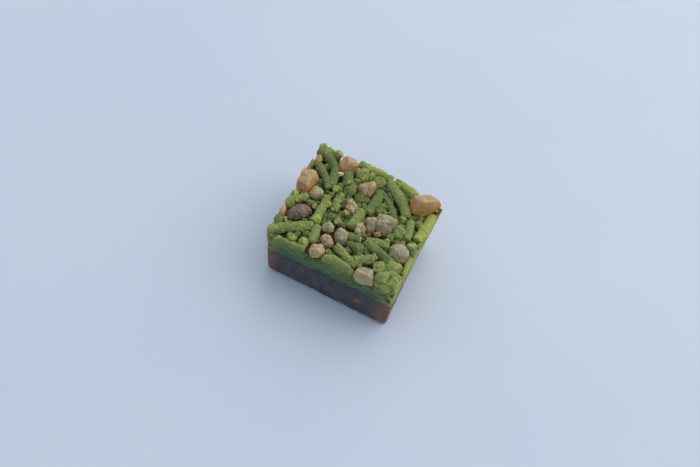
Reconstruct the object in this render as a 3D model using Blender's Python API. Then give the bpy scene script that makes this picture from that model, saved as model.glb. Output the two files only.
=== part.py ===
"""A small hand-cut block of sweet bean paste: a dark red-bean layer below, and above it a layer of
matcha-green paste pressed through a coarse sieve into short strands and broken bits, mixed with
pieces of candied chestnut and one red bean.

Metres, +Z up. The origin is at the middle of the foot of the block, and the front face looks
towards -Y. Sizes in the tables are millimetres, turned into metres where they are used.
"""
import math
import random

import bmesh
import bpy
from mathutils import Matrix, Vector, noise

MM = 0.001
SEED = 11
GAP = 0.3                        # clearance left between neighbouring pieces
SLIVER = 0.005                   # edges shorter than this are closed up after a cut
PLAN_MIDDLE = (-0.27, 0.90)      # middle of the finished block in the layout's own x and y

# The hand-cut block: plan corners (front left, front right, back right, back left) at three heights
FOOT_CORNERS = ((-21.5, -19.3), (23.3, -19.5), (20.9, 19.6), (-23.0, 20.2))
SEAM_CORNERS = ((-22.2, -19.6), (23.2, -19.0), (22.6, 19.6), (-23.4, 20.6))
TOP_CORNERS = ((-23.1, -19.9), (22.4, -18.7), (23.4, 19.6), (-23.9, 21.0))
TOP_HEIGHTS = (21.6, 23.2, 21.2, 23.2)   # height of the strands at those corners
BACK_PILE = 0.9                  # how much higher the strands are piled at the middle of the back
BACK_START = 0.7                 # share of the depth from which they rise
BACK_BULGE = 1.1                 # how far the back of the green layer bows out
SEAM_HEIGHT = 12.3               # where the green layer meets the red-bean layer
TOP_HEIGHT = 22.3
SEAM_WAVE = 0.6                  # how far the seam rises and falls
SEAM_RIPPLES = ((0.16, 0.0, 0.9, 0.6), (0.43, 0.21, 0.0, 0.4))   # turns per mm of x and y, phase, share

# The red-bean layer
BASE_CUTS = (12, 10, 5)
BASE_CORNER_RADIUS = 1.4
BASE_FOOT_RADIUS = 0.9
BASE_RELIEF = 0.35
BASE_LUMP_SIZE = 3.5
BASE_ROW_POWER = 1.6             # over 1 sets the rows of points closer together near the foot

# The green layer: a bare core that the strands and bits are pressed onto
CORE_DEPTH = 2.9                 # how far the core's top lies below the top of the strands
CORE_CUTS = (13, 11, 2)
CORE_MARGIN = 2.4                # the core starts larger than the block and is then cut to it
CORE_RELIEF = 0.5
CORE_LUMP_SIZE = 2.6
KNIFE_CUTS = (16, 14, 10)
KNIFE_BOTTOM = 9.0
KNIFE_TOP = 28.0
KNIFE_ROW_POWER = 1.25           # sets the rows of points closer together near the seam
KNIFE_CORNER_RADIUS = 0.8
KNIFE_LUMP_SIZE = 4.0
BULGE_POWER = 4                  # how steeply the bulge grows towards the back
ROW_HEIGHT = 3.4                 # a row of strands seen from the side
ROW_JOINT = 11.0                 # distance between the breaks along a row
ROW_DEPTH = 0.5                  # how deep the joints between rows are
ROW_WAVE = 0.46                  # how far a row rises and falls
ROW_WAVE_TURN = 0.35             # turns of that wave per mm
ROW_SHIFT = 0.37                 # how far each row's breaks are shifted from the row below, as a share
JOINT_SHARPNESS = 3.0            # a higher number makes the joints between rows narrower
BREAK_SHARPNESS = 1.6
BREAK_DEPTH = 0.8                # depth of a break as a share of a joint's
EVEN_DEPTH = 0.6                 # share of the joints' depth that doesn't vary
FRONT_SHELF_DEPTH = 1.0          # the front left edge lies lower than the rest
FRONT_SHELF_SHARE = 0.12         # share of the depth that the shelf takes

STRAND_SIDES = 2                 # bevel resolution of a strand: eight sides
STRAND_STEP = 2.7                # distance between the points along a strand
STRAND_SINK = 0.1                # how far a strand's crest lies below the top surface
STRAND_UNEVEN = (0.92, 1.06)     # how much a strand's width varies
STRAND_END = 0.85                # a broken end is this much thinner
FINE_STEP = 0.5                  # distance between the points that are tested for room
END_REACH = 0.5                  # a strand's end passes its last tested point by this share of radius
NUDGES = (0.0, 0.4, 0.8, 1.2, 1.6)   # how far a piece may move to find room
NUDGE_DIRECTIONS = 8

# Strands: x, y, heading in degrees, length, width, bend (sagitta) and lift, all but one in mm
STRANDS = {
    "long_rod": (-17.6, -14.2, 35, 15.0, 3.6, 0.3, 0.2),
    "bent_back_left": (-17.6, 13.6, -44, 15.8, 3.0, 3.1, 0.3),
    "inner_back_left": (-16.9, 10.7, -41, 10.0, 2.9, 0.5, 0.0),
    "left_middle": (-13.5, -1.8, -87, 10.0, 2.9, 0.2, -0.2),
    "rough_middle": (-8.3, 2.7, -81, 6.8, 3.4, 0.0, 0.0),
    "centre_back": (1.6, 9.6, -89, 9.8, 3.4, 0.2, 0.4),
    "centre": (-0.5, -0.2, -93, 8.6, 3.2, 0.0, 0.3),
    "back_right": (8.7, 15.2, -40, 14.4, 3.4, 0.8, 0.4),
    "back_right_low": (6.6, 11.5, -45, 11.4, 2.7, 0.9, -0.7),
    "back_right_behind": (10.8, 16.9, -44, 11.0, 2.8, 0.7, -0.4),
    "back_edge_right": (9.0, 20.6, -18, 8.4, 3.2, 0.2, 0.0),
    "back_edge_middle": (-0.6, 21.0, -4, 6.4, 3.2, 0.0, 0.2),
    "back_edge_left": (-6.6, 21.0, -8, 5.4, 3.2, 0.0, 0.2),
    "front_left_short": (-9.2, -12.2, -80, 6.4, 3.0, 0.0, -0.2),
    "front_right_rod": (11.8, -8.3, -18, 10.6, 3.4, 0.0, 0.4),
    "front_middle": (3.2, -14.8, -23, 8.8, 3.0, -0.3, 0.0),
    "front_lumpy": (8.8, -13.4, 39, 5.6, 3.4, 0.4, 0.2),
    "right_short": (17.0, 5.4, -78, 7.8, 3.0, 0.1, 0.0),
    "right_edge": (20.6, 9.4, -90, 10.6, 3.6, 0.0, -0.2),
    "right_edge_front": (21.4, -8.4, -86, 7.0, 3.4, 0.0, -0.2),
    "lumpy_middle": (11.3, -3.8, 8, 6.6, 3.2, 0.3, 0.0),
    "front_bent": (2.6, -18.4, -6, 10.0, 3.0, 1.1, -0.6),
    "left_edge_back": (-22.6, 11.2, 82, 6.4, 3.2, 0.0, -0.3),
}

# Broken bits of strand: x, y, width, lift
BITS = (
    (14.0, 2.6, 4.4, 0.0), (20.6, -1.4, 4.0, 0.0), (14.6, -13.2, 4.6, 0.1), (11.6, -11.4, 2.2, 0.2),
    (5.7, -10.1, 4.4, 0.2), (1.8, -6.5, 3.7, 0.0), (1.6, -10.0, 2.6, -0.4), (-15.2, -16.9, 3.2, -0.3),
    (-10.9, -16.6, 3.6, -0.2), (-11.4, -6.9, 3.8, 0.0), (-7.2, 9.9, 4.2, 0.1), (-10.6, 7.6, 3.3, -0.2),
    (-10.4, 0.4, 2.7, -0.1), (-9.6, 14.8, 4.6, 0.0), (-6.6, 18.6, 5.2, 0.2), (0.2, 18.6, 4.4, 0.0),
    (-3.2, 19.0, 3.2, -0.2), (4.6, 7.0, 3.0, -0.3), (-2.6, 9.0, 3.4, -0.9), (-7.4, -3.4, 3.1, -0.2),
    (-4.6, -0.2, 3.0, -0.4), (-4.3, -4.0, 2.8, -0.4), (-22.2, -5.4, 3.6, 0.0), (-20.6, -1.2, 4.6, 0.0),
    (-21.8, -13.4, 3.6, -0.2), (-19.3, -11.4, 3.0, -0.4), (-20.4, 19.6, 4.2, 0.4), (-17.2, 19.8, 3.8, 0.3),
    (-22.6, 19.8, 4.2, 0.5), (18.2, -11.2, 5.6, -0.1), (21.0, -14.4, 5.4, 0.0), (17.2, -16.4, 5.2, -0.3),
    (20.4, -18.0, 5.4, -0.1), (22.2, 17.0, 4.4, -0.2), (21.8, 19.4, 3.4, -0.6), (-17.6, -19.2, 3.6, -1.0),
    (-21.4, -19.0, 3.8, -1.6), (-12.8, -19.4, 3.2, -1.2),
)
BIT_STRETCH = 1.15               # the longest bits are this much longer than their width
BIT_STRETCHES = (0.95, BIT_STRETCH)
BIT_HEIGHTS = (0.85, 1.0)        # a bit's height as a share of its width
BIT_SINK = 0.95                  # how much of its half height a bit's middle lies below the crests
BIT_SEED = 500
FILL_BITS = 36                   # smaller bits that fill what room is left
FILL_WIDTHS = (2.2, 3.2)
FILL_DEPTH = 0.9
FILL_TRIES = 6000
FILL_OVERLAP = 0.28              # a small bit's middle is at least this share of its width from the others
SHRINKS = (1.0, 0.85, 0.7)       # a larger bit that finds no room is tried smaller
SMALL_BIT = 3.7                  # bits up to this width get the coarser mesh

# Chestnut pieces and the bean: x, y, heading in degrees, half length, half width, half height,
# how far the crest stands above the strands, and how far two lobes lie apart as a share of length
TOPPINGS = {
    "chestnut_back": (-11.7, 18.4, 21, 3.4, 3.0, 3.4, 2.2, 0.0),
    "chestnut_left": (-21.5, 5.7, 78, 4.9, 2.9, 2.9, 1.1, 0.40),
    "chestnut_left_small": (-16.2, 2.6, 37, 2.5, 2.3, 2.4, 0.6, 0.0),
    "chestnut_heart": (-2.3, 13.0, 28, 2.9, 2.5, 2.5, 0.6, 0.40),
    "chestnut_rough": (-3.5, 3.4, 37, 2.3, 1.8, 2.0, 0.3, 0.35),
    "azuki_bean": (-17.6, -7.0, 50, 4.3, 2.9, 2.7, 0.5, 0.0),
    "chestnut_middle_left": (-6.4, -7.9, 27, 2.1, 1.8, 2.0, 0.5, 0.0),
    "chestnut_middle": (-1.2, -8.4, -61, 3.1, 2.4, 2.5, 0.6, 0.0),
    "chestnut_speckled": (-4.5, -12.5, -38, 2.5, 1.9, 2.3, 0.5, 0.0),
    "chestnut_front_left": (-5.7, -17.1, 35, 2.8, 1.8, 2.3, -0.1, 0.35),
    "chestnut_centre": (3.0, -3.6, 37, 2.1, 1.8, 2.0, 0.3, 0.35),
    "chestnut_slim": (5.0, 0.6, -58, 3.1, 1.5, 2.2, 0.4, 0.3),
    "chestnut_centre_large": (8.8, 3.4, -52, 4.1, 2.7, 2.9, 1.0, 0.3),
    "chestnut_centre_small": (8.4, -2.0, 20, 1.4, 0.9, 1.3, 0.0, 0.0),
    "chestnut_corner": (17.6, 17.2, 34, 5.5, 3.0, 3.8, 4.1, 0.30),
    "chestnut_right": (17.9, -5.0, -59, 3.6, 2.8, 2.7, 0.5, 0.3),
    "chestnut_front": (11.5, -18.0, 19, 3.4, 2.9, 3.0, -0.2, 0.4),
    "chestnut_back_left": (-21.9, 15.3, 100, 2.0, 1.2, 1.8, 0.2, 0.0),
    "chestnut_left_edge": (-22.3, -9.6, 100, 2.2, 1.2, 1.7, 0.0, 0.0),
}
TAPERS = {                       # how much thinner a piece is at its far end than at its middle
    "chestnut_left": 0.28,
    "chestnut_corner": 0.20,
    "chestnut_back": 0.22,
    "chestnut_right": 0.12,
}
LOBE_OFFSET = 0.05               # how far the second lobe sits off the long axis
MIDDLE_LOBE = 0.92               # size of the lobe that joins two others
TOPPING_FLATS = 6
BIT_FLATS = 5
FLAT_DISTANCES = (0.72, 0.92)    # how far the broken flats lie from a lump's middle
LEAST_FACING = 0.05              # a flat that faces away by more than this doesn't cut a direction
LUMP_ROUGHNESS = 0.05
LUMP_NOISE_SIZE = 0.45
SQUARENESS = 2.6                 # exponent of a topping's outline in plan: 2 would be an ellipse
LARGE_TOPPING = 4.0              # half length from which a topping gets a finer mesh
BASE_BIT = (11.9, -18.3, 6.6)    # a bit of chestnut in the front face of the red-bean layer
BASE_BIT_SIZE = (1.8, 1.3, 1.4)
BASE_BIT_SHARE = 0.75            # where along the front face it shows

# Finishes: colour, roughness
FINISHES = {
    "red_bean_paste": ((0.055, 0.028, 0.026, 1.0), 0.55),
    "matcha_paste": ((0.120, 0.190, 0.032, 1.0), 0.85),
    "candied_chestnut": ((0.430, 0.260, 0.110, 1.0), 0.32),
    "azuki_skin": ((0.110, 0.070, 0.052, 1.0), 0.40),
}


def clear_scene():
    """Remove whatever the scene holds."""
    for obj in list(bpy.data.objects):
        bpy.data.objects.remove(obj, do_unlink=True)


def new_collection(name):
    """A collection linked to the scene."""
    collection = bpy.data.collections.new(name)
    bpy.context.scene.collection.children.link(collection)
    return collection


def finish(name):
    """The Principled material of one finish, made once."""
    if name in bpy.data.materials:
        return bpy.data.materials[name]
    colour, roughness = FINISHES[name]
    material = bpy.data.materials.new(name)
    material.use_nodes = True
    shader = material.node_tree.nodes["Principled BSDF"]
    shader.inputs["Base Color"].default_value = colour
    shader.inputs["Roughness"].default_value = roughness
    shader.inputs["Metallic"].default_value = 0.0
    return material


def mesh_object(name, bm, collection, finish_name=None):
    """Turn a bmesh worked out in millimetres into an object in metres."""
    bmesh.ops.scale(bm, verts=bm.verts, vec=(MM, MM, MM))
    bmesh.ops.recalc_face_normals(bm, faces=bm.faces)
    mesh = bpy.data.meshes.new(name)
    bm.to_mesh(mesh)
    bm.free()
    if finish_name:
        mesh.materials.append(finish(finish_name))
    obj = bpy.data.objects.new(name, mesh)
    collection.objects.link(obj)
    return obj


def four_corners(corners, u, v):
    """The point at shares u and v, from 0 to 1, between four corners."""
    front = Vector(corners[0]) * (1 - u) + Vector(corners[1]) * u
    back = Vector(corners[3]) * (1 - u) + Vector(corners[2]) * u
    return front * (1 - v) + back * v


def plan_point(u, v, height):
    """The block's plan point at shares u and v, on its hand-cut outline at a height."""
    seam = four_corners(SEAM_CORNERS, u, v)
    if height < SEAM_HEIGHT:
        share = height / SEAM_HEIGHT
        return four_corners(FOOT_CORNERS, u, v).lerp(seam, share)
    share = (height - SEAM_HEIGHT) / (TOP_HEIGHT - SEAM_HEIGHT)
    return seam.lerp(four_corners(TOP_CORNERS, u, v), share)


def shares(x, y):
    """Roughly where a plan point lies between the block's sides, from 0 to 1."""
    u = (x - TOP_CORNERS[0][0]) / (TOP_CORNERS[1][0] - TOP_CORNERS[0][0])
    v = (y - TOP_CORNERS[0][1]) / (TOP_CORNERS[3][1] - TOP_CORNERS[0][1])
    return min(max(u, 0.0), 1.0), min(max(v, 0.0), 1.0)


def top_height(x, y):
    """Height of the strands' crests over a plan point, piled a little higher at the back."""
    u, v = shares(x, y)
    front = TOP_HEIGHTS[0] * (1 - u) + TOP_HEIGHTS[1] * u
    back = TOP_HEIGHTS[3] * (1 - u) + TOP_HEIGHTS[2] * u
    pile = BACK_PILE * math.sin(math.pi * u) * max(0.0, (v - BACK_START) / (1 - BACK_START))
    return front * (1 - v) + back * v + pile


def shelf_drop(x, y):
    """How much lower the core lies along the front left edge."""
    u, v = shares(x, y)
    along = max(0.0, 1.0 - u / 0.5)
    return FRONT_SHELF_DEPTH * min(1.0, along * 2) * max(0.0, 1.0 - v / FRONT_SHELF_SHARE)


def seam_height(x, y):
    """The wavy seam between the two layers."""
    wave = sum(math.sin(x * by_x + y * by_y + phase) * share for by_x, by_y, phase, share in SEAM_RIPPLES)
    return SEAM_HEIGHT + SEAM_WAVE * wave


def lumps(x, y, z, size):
    """Smooth seeded noise between about -1 and 1, with lumps of a size."""
    return noise.noise(Vector((x / size, y / size, z / size + SEED)))


def grid_block(cuts):
    """A bmesh box from 0 to 1 on each axis, cut into a grid."""
    bm = bmesh.new()
    bmesh.ops.create_cube(bm, size=1.0, matrix=Matrix.Translation((0.5, 0.5, 0.5)))
    for axis, count in enumerate(cuts):
        along = [edge for edge in bm.edges
                 if abs((edge.verts[1].co - edge.verts[0].co)[axis]) > 0.5]
        bmesh.ops.subdivide_edges(bm, edges=along, cuts=count - 1, use_grid_fill=True)
    return bm


def round_corner(u, v, width, depth, radius):
    """Pull a plan share in so that the block's upright edges are rounded."""
    x, y = u * width, v * depth
    inner_x = min(max(x, radius), width - radius)
    inner_y = min(max(y, radius), depth - radius)
    off = Vector((x - inner_x, y - inner_y))
    if off.length > radius:
        off = off.normalized() * radius
    return (inner_x + off.x) / width, (inner_y + off.y) / depth


def side_normal(u, v):
    """Outward plan direction of a point on the block's side, or nothing for a point inside."""
    off = Vector((u - 0.5, v - 0.5))
    reach = max(abs(off.x), abs(off.y))
    if reach < 0.49:
        return None
    if abs(off.x) > abs(off.y):
        return Vector((math.copysign(1.0, off.x), 0.0))
    return Vector((0.0, math.copysign(1.0, off.y)))


def base_layer(collection, cutters):
    """The red-bean layer, flat below, with worn edges and a slightly lumpy cut face."""
    bm = grid_block(BASE_CUTS)
    width = FOOT_CORNERS[1][0] - FOOT_CORNERS[0][0]
    depth = FOOT_CORNERS[3][1] - FOOT_CORNERS[0][1]
    for vert in bm.verts:
        u, v, share = vert.co
        side = side_normal(u, v)
        rise = share ** BASE_ROW_POWER
        height = rise * SEAM_HEIGHT
        inset = 0.0
        if height < BASE_FOOT_RADIUS:
            up = 1.0 - height / BASE_FOOT_RADIUS
            inset = BASE_FOOT_RADIUS * (1.0 - math.sqrt(1.0 - up * up))
        u, v = round_corner(u, v, width, depth, BASE_CORNER_RADIUS)
        point = plan_point(u, v, height)
        if side is not None:
            point -= point.normalized() * inset
            if 0.0 < share < 1.0:
                point += side * BASE_RELIEF * lumps(point.x, point.y, height, BASE_LUMP_SIZE)
        top = seam_height(point.x, point.y) - GAP / 2
        vert.co = (point.x, point.y, rise * top)
    base = mesh_object("base_layer", bm, collection, "red_bean_paste")
    pocket = lump("cut_base_bit", BASE_BIT, BASE_BIT_SIZE, 0.0, 0.0, GAP, 2, cutters)
    cut(base, pocket, "DIFFERENCE")
    return base


def lobed_radius(direction, lobes, flats):
    """Distance from the middle to the surface of a lump: lobes joined, then broken flat in places."""
    reach = 0.0
    for centre, size in lobes:
        along = direction.dot(centre)
        inside = along * along - centre.length_squared + size * size
        if inside > 0.0:
            reach = max(reach, along + math.sqrt(inside))
    for normal, distance in flats:
        facing = direction.dot(normal)
        if facing > LEAST_FACING:
            reach = min(reach, distance / facing)
    return reach


def lump(name, place, half_sizes, heading, spread, grow, detail, collection, finish_name=None,
         flat_count=BIT_FLATS, draw_seed=0, taper=0.0):
    """A closed lump of one or two lobes with a few broken flats, as candied chestnut breaks."""
    rng = random.Random(SEED * 1000 + draw_seed)
    lobe_size = 1.0 - spread
    lobes = [(Vector((spread, 0.0, 0.0)), lobe_size)]
    fatten = 1.0
    if spread > 0.0:
        lobes.append((Vector((-spread, -LOBE_OFFSET, 0.0)), lobe_size - LOBE_OFFSET))
        lobes.append((Vector((0.0, 0.0, 0.0)), lobe_size * MIDDLE_LOBE))
        fatten = 1.0 / lobe_size
    flats = []
    for _ in range(flat_count):
        normal = Vector((rng.gauss(0, 1), rng.gauss(0, 1), rng.gauss(0, 0.6))).normalized()
        flats.append((normal, rng.uniform(*FLAT_DISTANCES)))
    bm = bmesh.new()
    bmesh.ops.create_icosphere(bm, subdivisions=detail, radius=1.0)
    turn = Matrix.Rotation(math.radians(heading), 3, "Z")
    for vert in bm.verts:
        direction = vert.co.normalized()
        reach = lobed_radius(direction, lobes, flats)
        rough = lumps(direction.x, direction.y, direction.z + draw_seed, LUMP_NOISE_SIZE)
        reach *= 1.0 + LUMP_ROUGHNESS * rough
        thin = fatten * (1.0 - taper * direction.x * reach)
        local = Vector((direction.x * half_sizes[0], direction.y * half_sizes[1] * thin,
                        direction.z * half_sizes[2] * thin)) * reach
        local += direction * grow
        vert.co = turn @ local + Vector(place)
    return mesh_object(name, bm, collection, finish_name)


def topping(name, number, grow, collection, finish_name=None):
    """One chestnut piece, or the bean, at its place in the green layer."""
    x, y, heading, length, width, height, proud, spread = TOPPINGS[name]
    place = (x, y, top_height(x, y) + proud - height)
    detail = 3 if length >= LARGE_TOPPING else 2
    flat_count = 0 if name == "azuki_bean" else TOPPING_FLATS
    return lump(name if finish_name else "pocket_" + name, place, (length, width, height), heading,
                spread, grow, detail, collection, finish_name, flat_count, number, TAPERS.get(name, 0.0))


def cut(obj, other, operation):
    """Apply one Boolean and remove the other object."""
    modifier = obj.modifiers.new(operation.lower(), "BOOLEAN")
    modifier.operation = operation
    modifier.solver = "MANIFOLD"
    modifier.object = other
    apply_modifiers(obj)
    bpy.data.objects.remove(other, do_unlink=True)


def apply_modifiers(obj):
    """Keep the evaluated mesh as the object's own."""
    graph = bpy.context.evaluated_depsgraph_get()
    mesh = bpy.data.meshes.new_from_object(obj.evaluated_get(graph))
    obj.modifiers.clear()
    obj.data = mesh


def topping_share(x, y, name, margin):
    """How far out a plan point lies from a topping's middle: under 1 is inside its outline."""
    place_x, place_y, heading, length, width = TOPPINGS[name][:5]
    turn = math.radians(heading)
    along = (x - place_x) * math.cos(turn) + (y - place_y) * math.sin(turn)
    across = (y - place_y) * math.cos(turn) - (x - place_x) * math.sin(turn)
    along = abs(along) / (length + margin)
    across = abs(across) / (width + margin)
    return (along ** SQUARENESS + across ** SQUARENESS) ** (1.0 / SQUARENESS)


def is_clear(x, y, margin):
    """Whether a round piece of that radius keeps clear of every topping."""
    return all(topping_share(x, y, name, margin) > 1.0 for name in TOPPINGS)


def clear_run(points, margin):
    """The longest run of a piece's points that keeps clear of every topping."""
    best, run = [], []
    for point in points:
        run = run + [point] if is_clear(point.x, point.y, margin) else []
        if len(run) > len(best):
            best = run
    return best


def settle(points, radius):
    """Move a piece a little, or else shorten it, until it keeps clear of every topping."""
    best = []
    for reach in NUDGES:
        for step in range(NUDGE_DIRECTIONS):
            turn = step * math.tau / NUDGE_DIRECTIONS
            shift = Vector((math.cos(turn), math.sin(turn))) * reach
            run = clear_run([point + shift for point in points], radius + GAP)
            if len(run) > len(best):
                best = run
            if len(best) == len(points):
                return best
    return best


def strand_points(spec):
    """Points along a strand's axis, where it finds room between the toppings."""
    x, y, heading, length, width, bend, lift = spec
    radius = width / 2
    turn = math.radians(heading)
    along = Vector((math.cos(turn), math.sin(turn)))
    left = Vector((-along.y, along.x))
    half = length / 2 - radius * END_REACH
    count = round(length / FINE_STEP)
    points = []
    for number in range(count + 1):
        share = number / count * 2.0 - 1.0
        points.append(Vector((x, y)) + along * share * half + left * bend * (0.5 - share * share))
    points = settle(points, radius)
    if len(points) < 3:
        return []
    points[0] += (points[0] - points[1]).normalized() * radius * END_REACH
    points[-1] += (points[-1] - points[-2]).normalized() * radius * END_REACH
    steps = max(2, round(len(points) * FINE_STEP / STRAND_STEP))
    kept = [points[round(number / steps * (len(points) - 1))] for number in range(steps + 1)]
    return [Vector((p.x, p.y, top_height(p.x, p.y) - STRAND_SINK - radius + lift)) for p in kept]


def strand(name, number, spec, collection):
    """One sieve-pressed strand: a tube with slightly uneven width and flat broken ends."""
    points = strand_points(spec)
    if len(points) < 2:
        return
    rng = random.Random(SEED + number)
    curve = bpy.data.curves.new(name, "CURVE")
    curve.dimensions = "3D"
    curve.bevel_depth = spec[4] / 2 * MM
    curve.bevel_resolution = STRAND_SIDES
    curve.use_fill_caps = True
    spline = curve.splines.new("POLY")
    spline.points.add(len(points) - 1)
    for index, point in enumerate(points):
        spline.points[index].co = (*(point * MM), 1.0)
        spline.points[index].radius = rng.uniform(*STRAND_UNEVEN)
    spline.points[0].radius *= STRAND_END
    spline.points[-1].radius *= STRAND_END
    tube = bpy.data.objects.new(name, curve)
    collection.objects.link(tube)
    graph = bpy.context.evaluated_depsgraph_get()
    mesh = bpy.data.meshes.new_from_object(tube.evaluated_get(graph))
    solid = bpy.data.objects.new(name, mesh)
    solid.matrix_world = tube.matrix_world
    collection.objects.link(solid)
    bpy.data.objects.remove(tube, do_unlink=True)
    bm = bmesh.new()
    bm.from_mesh(mesh)
    bmesh.ops.remove_doubles(bm, verts=bm.verts, dist=0.01 * MM)
    bmesh.ops.recalc_face_normals(bm, faces=bm.faces)
    bm.to_mesh(mesh)
    bm.free()


def bit(number, x, y, width, lift, collection, detail):
    """One broken bit of strand, longer than wide, turned at random."""
    rng = random.Random(SEED * 100 + number)
    half = width / 2
    stretch = rng.uniform(*BIT_STRETCHES)
    sizes = (half * stretch, half / stretch ** 0.5, half * rng.uniform(*BIT_HEIGHTS))
    place = (x, y, top_height(x, y) - shelf_drop(x, y) + lift - sizes[2] * BIT_SINK)
    lump("bit_%03d" % number, place, sizes, rng.uniform(0, 180), 0.0, 0.0, detail, collection,
         None, BIT_FLATS, BIT_SEED + number)


def scatter_bits(taken):
    """Places for the small bits that fill what room is left between the other pieces."""
    rng = random.Random(SEED)
    found = []
    tries = 0
    while len(found) < FILL_BITS and tries < FILL_TRIES:
        tries += 1
        x, y = rng.uniform(-22.0, 22.0), rng.uniform(-18.5, 19.0)
        width = rng.uniform(*FILL_WIDTHS)
        if not is_clear(x, y, width / 2 + GAP):
            continue
        near = min(math.dist((x, y), place[:2]) - place[2] for place in taken + found)
        if near > width * FILL_OVERLAP:
            found.append((x, y, width / 2))
    return found


def bit_places():
    """The larger bits, each moved to where it has room: x, y, width, lift."""
    places = []
    for x, y, full_width, lift in BITS:
        for share in SHRINKS:
            width = full_width * share
            settled = settle([Vector((x, y))], width / 2 * BIT_STRETCH)
            if settled:
                places.append((settled[0].x, settled[0].y, width, lift))
                break
    return places


def occupied(places):
    """Plan discs that the strands and the larger bits already cover: x, y, radius."""
    discs = [(x, y, width / 2) for x, y, width, _ in places]
    for spec in STRANDS.values():
        discs += [(point.x, point.y, spec[4] / 2) for point in strand_points(spec)]
    return discs


def bare_core(cutters):
    """The green layer's core, a little larger than the block, with a pocket for each topping."""
    bm = grid_block(CORE_CUTS)
    for vert in bm.verts:
        u, v, share = vert.co
        point = plan_point(u, v, SEAM_HEIGHT + share * (TOP_HEIGHT - SEAM_HEIGHT))
        point.x += (u - 0.5) * 2 * CORE_MARGIN
        point.y += (v - 0.5) * 2 * CORE_MARGIN
        bottom = seam_height(point.x, point.y) + GAP / 2
        top = top_height(point.x, point.y) - CORE_DEPTH - shelf_drop(point.x, point.y)
        top += CORE_RELIEF * lumps(point.x, point.y, 0.0, CORE_LUMP_SIZE)
        vert.co = (point.x, point.y, bottom + (top - bottom) * share)
    core = mesh_object("matcha_layer", bm, cutters, "matcha_paste")
    for number, name in enumerate(TOPPINGS):
        cut(core, topping(name, number, GAP, cutters), "DIFFERENCE")
    return core


def row_relief(along, height):
    """Depth of the joints between the rows of strands seen on a cut side, from 0 to 1."""
    row = (height - SEAM_HEIGHT + ROW_WAVE * math.sin(along * ROW_WAVE_TURN)) / ROW_HEIGHT
    joint = abs(row - round(row)) * 2.0
    step = along / ROW_JOINT + math.floor(row + 0.5) * ROW_SHIFT
    break_off = abs(step - round(step)) * 2.0 * ROW_JOINT / ROW_HEIGHT
    row_joint = max(0.0, 1.0 - joint * JOINT_SHARPNESS)
    row_break = max(0.0, 1.0 - break_off * BREAK_SHARPNESS)
    return max(row_joint, row_break * BREAK_DEPTH)


def knife_block(cutters):
    """The volume that the knife left: the block's cut sides, with the joints between the strands."""
    bm = grid_block(KNIFE_CUTS)
    width = SEAM_CORNERS[1][0] - SEAM_CORNERS[0][0]
    depth = SEAM_CORNERS[3][1] - SEAM_CORNERS[0][1]
    for vert in bm.verts:
        u, v, share = vert.co
        side = side_normal(u, v)
        height = KNIFE_BOTTOM + share ** KNIFE_ROW_POWER * (KNIFE_TOP - KNIFE_BOTTOM)
        u, v = round_corner(u, v, width, depth, KNIFE_CORNER_RADIUS)
        point = plan_point(u, v, height)
        point.y += BACK_BULGE * math.sin(math.pi * u) * v ** BULGE_POWER
        if side is not None:
            along = point.x if abs(side.y) > 0.5 else point.y
            uneven = EVEN_DEPTH + (1.0 - EVEN_DEPTH) * lumps(along, height, side.x, KNIFE_LUMP_SIZE)
            point -= side * max(0.0, ROW_DEPTH * row_relief(along, height) * uneven)
        vert.co = (point.x, point.y, height)
    return mesh_object("knife_block", bm, cutters)


def trim(obj, cutters):
    """Cut a piece flush with the block's sides."""
    cut(obj, knife_block(cutters), "INTERSECT")


def bodies_of(bm):
    """The mesh's separate bodies, as lists of faces that share edges."""
    left = set(bm.faces)
    bodies = []
    while left:
        body = [left.pop()]
        for face in body:
            for edge in face.edges:
                for neighbour in edge.link_faces if len(edge.link_faces) == 2 else ():
                    if neighbour in left:
                        left.discard(neighbour)
                        body.append(neighbour)
        bodies.append(body)
    return bodies


def keep_largest(obj):
    """Drop the loose scraps that a cut leaves, and fill any hollow that it sealed."""
    bm = bmesh.new()
    bm.from_mesh(obj.data)
    bmesh.ops.dissolve_degenerate(bm, edges=bm.edges, dist=SLIVER * MM)
    bmesh.ops.triangulate(bm, faces=bm.faces)
    bodies = bodies_of(bm)
    largest = max(bodies, key=len)
    scraps = [face for body in bodies if body is not largest for face in body]
    bmesh.ops.delete(bm, geom=scraps, context="FACES")
    bm.to_mesh(obj.data)
    bm.free()


def matcha_layer(collection, cutters):
    """The green layer: strands and bits joined to the core, then cut flush at the sides."""
    core = bare_core(cutters)
    pressed = new_collection("strands and bits")
    for number, (name, spec) in enumerate(STRANDS.items()):
        strand(name, number, spec, pressed)
    places = bit_places()
    for x, y, radius in scatter_bits(occupied(places)):
        places.append((x, y, radius * 2, -FILL_DEPTH))
    for number, (x, y, width, lift) in enumerate(places):
        bit(number, x, y, width, lift, pressed, 2 if width > SMALL_BIT else 1)
    modifier = core.modifiers.new("union", "BOOLEAN")
    modifier.operation = "UNION"
    modifier.solver = "MANIFOLD"
    modifier.operand_type = "COLLECTION"
    modifier.collection = pressed
    apply_modifiers(core)
    for obj in list(pressed.objects):
        bpy.data.objects.remove(obj, do_unlink=True)
    bpy.data.collections.remove(pressed)
    trim(core, cutters)
    keep_largest(core)
    cutters.objects.unlink(core)
    collection.objects.link(core)
    return core


def toppings(collection, cutters):
    """The chestnut pieces and the bean, each cut flush where it reaches a side."""
    for number, name in enumerate(TOPPINGS):
        finish_name = "azuki_skin" if name == "azuki_bean" else "candied_chestnut"
        piece = topping(name, number, 0.0, collection, finish_name)
        trim(piece, cutters)
        keep_largest(piece)
    bit_piece = lump("chestnut_bit_in_base", BASE_BIT, BASE_BIT_SIZE, 0.0, 0.0, 0.0, 2, collection,
                     "candied_chestnut")
    trim_low(bit_piece)


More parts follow.
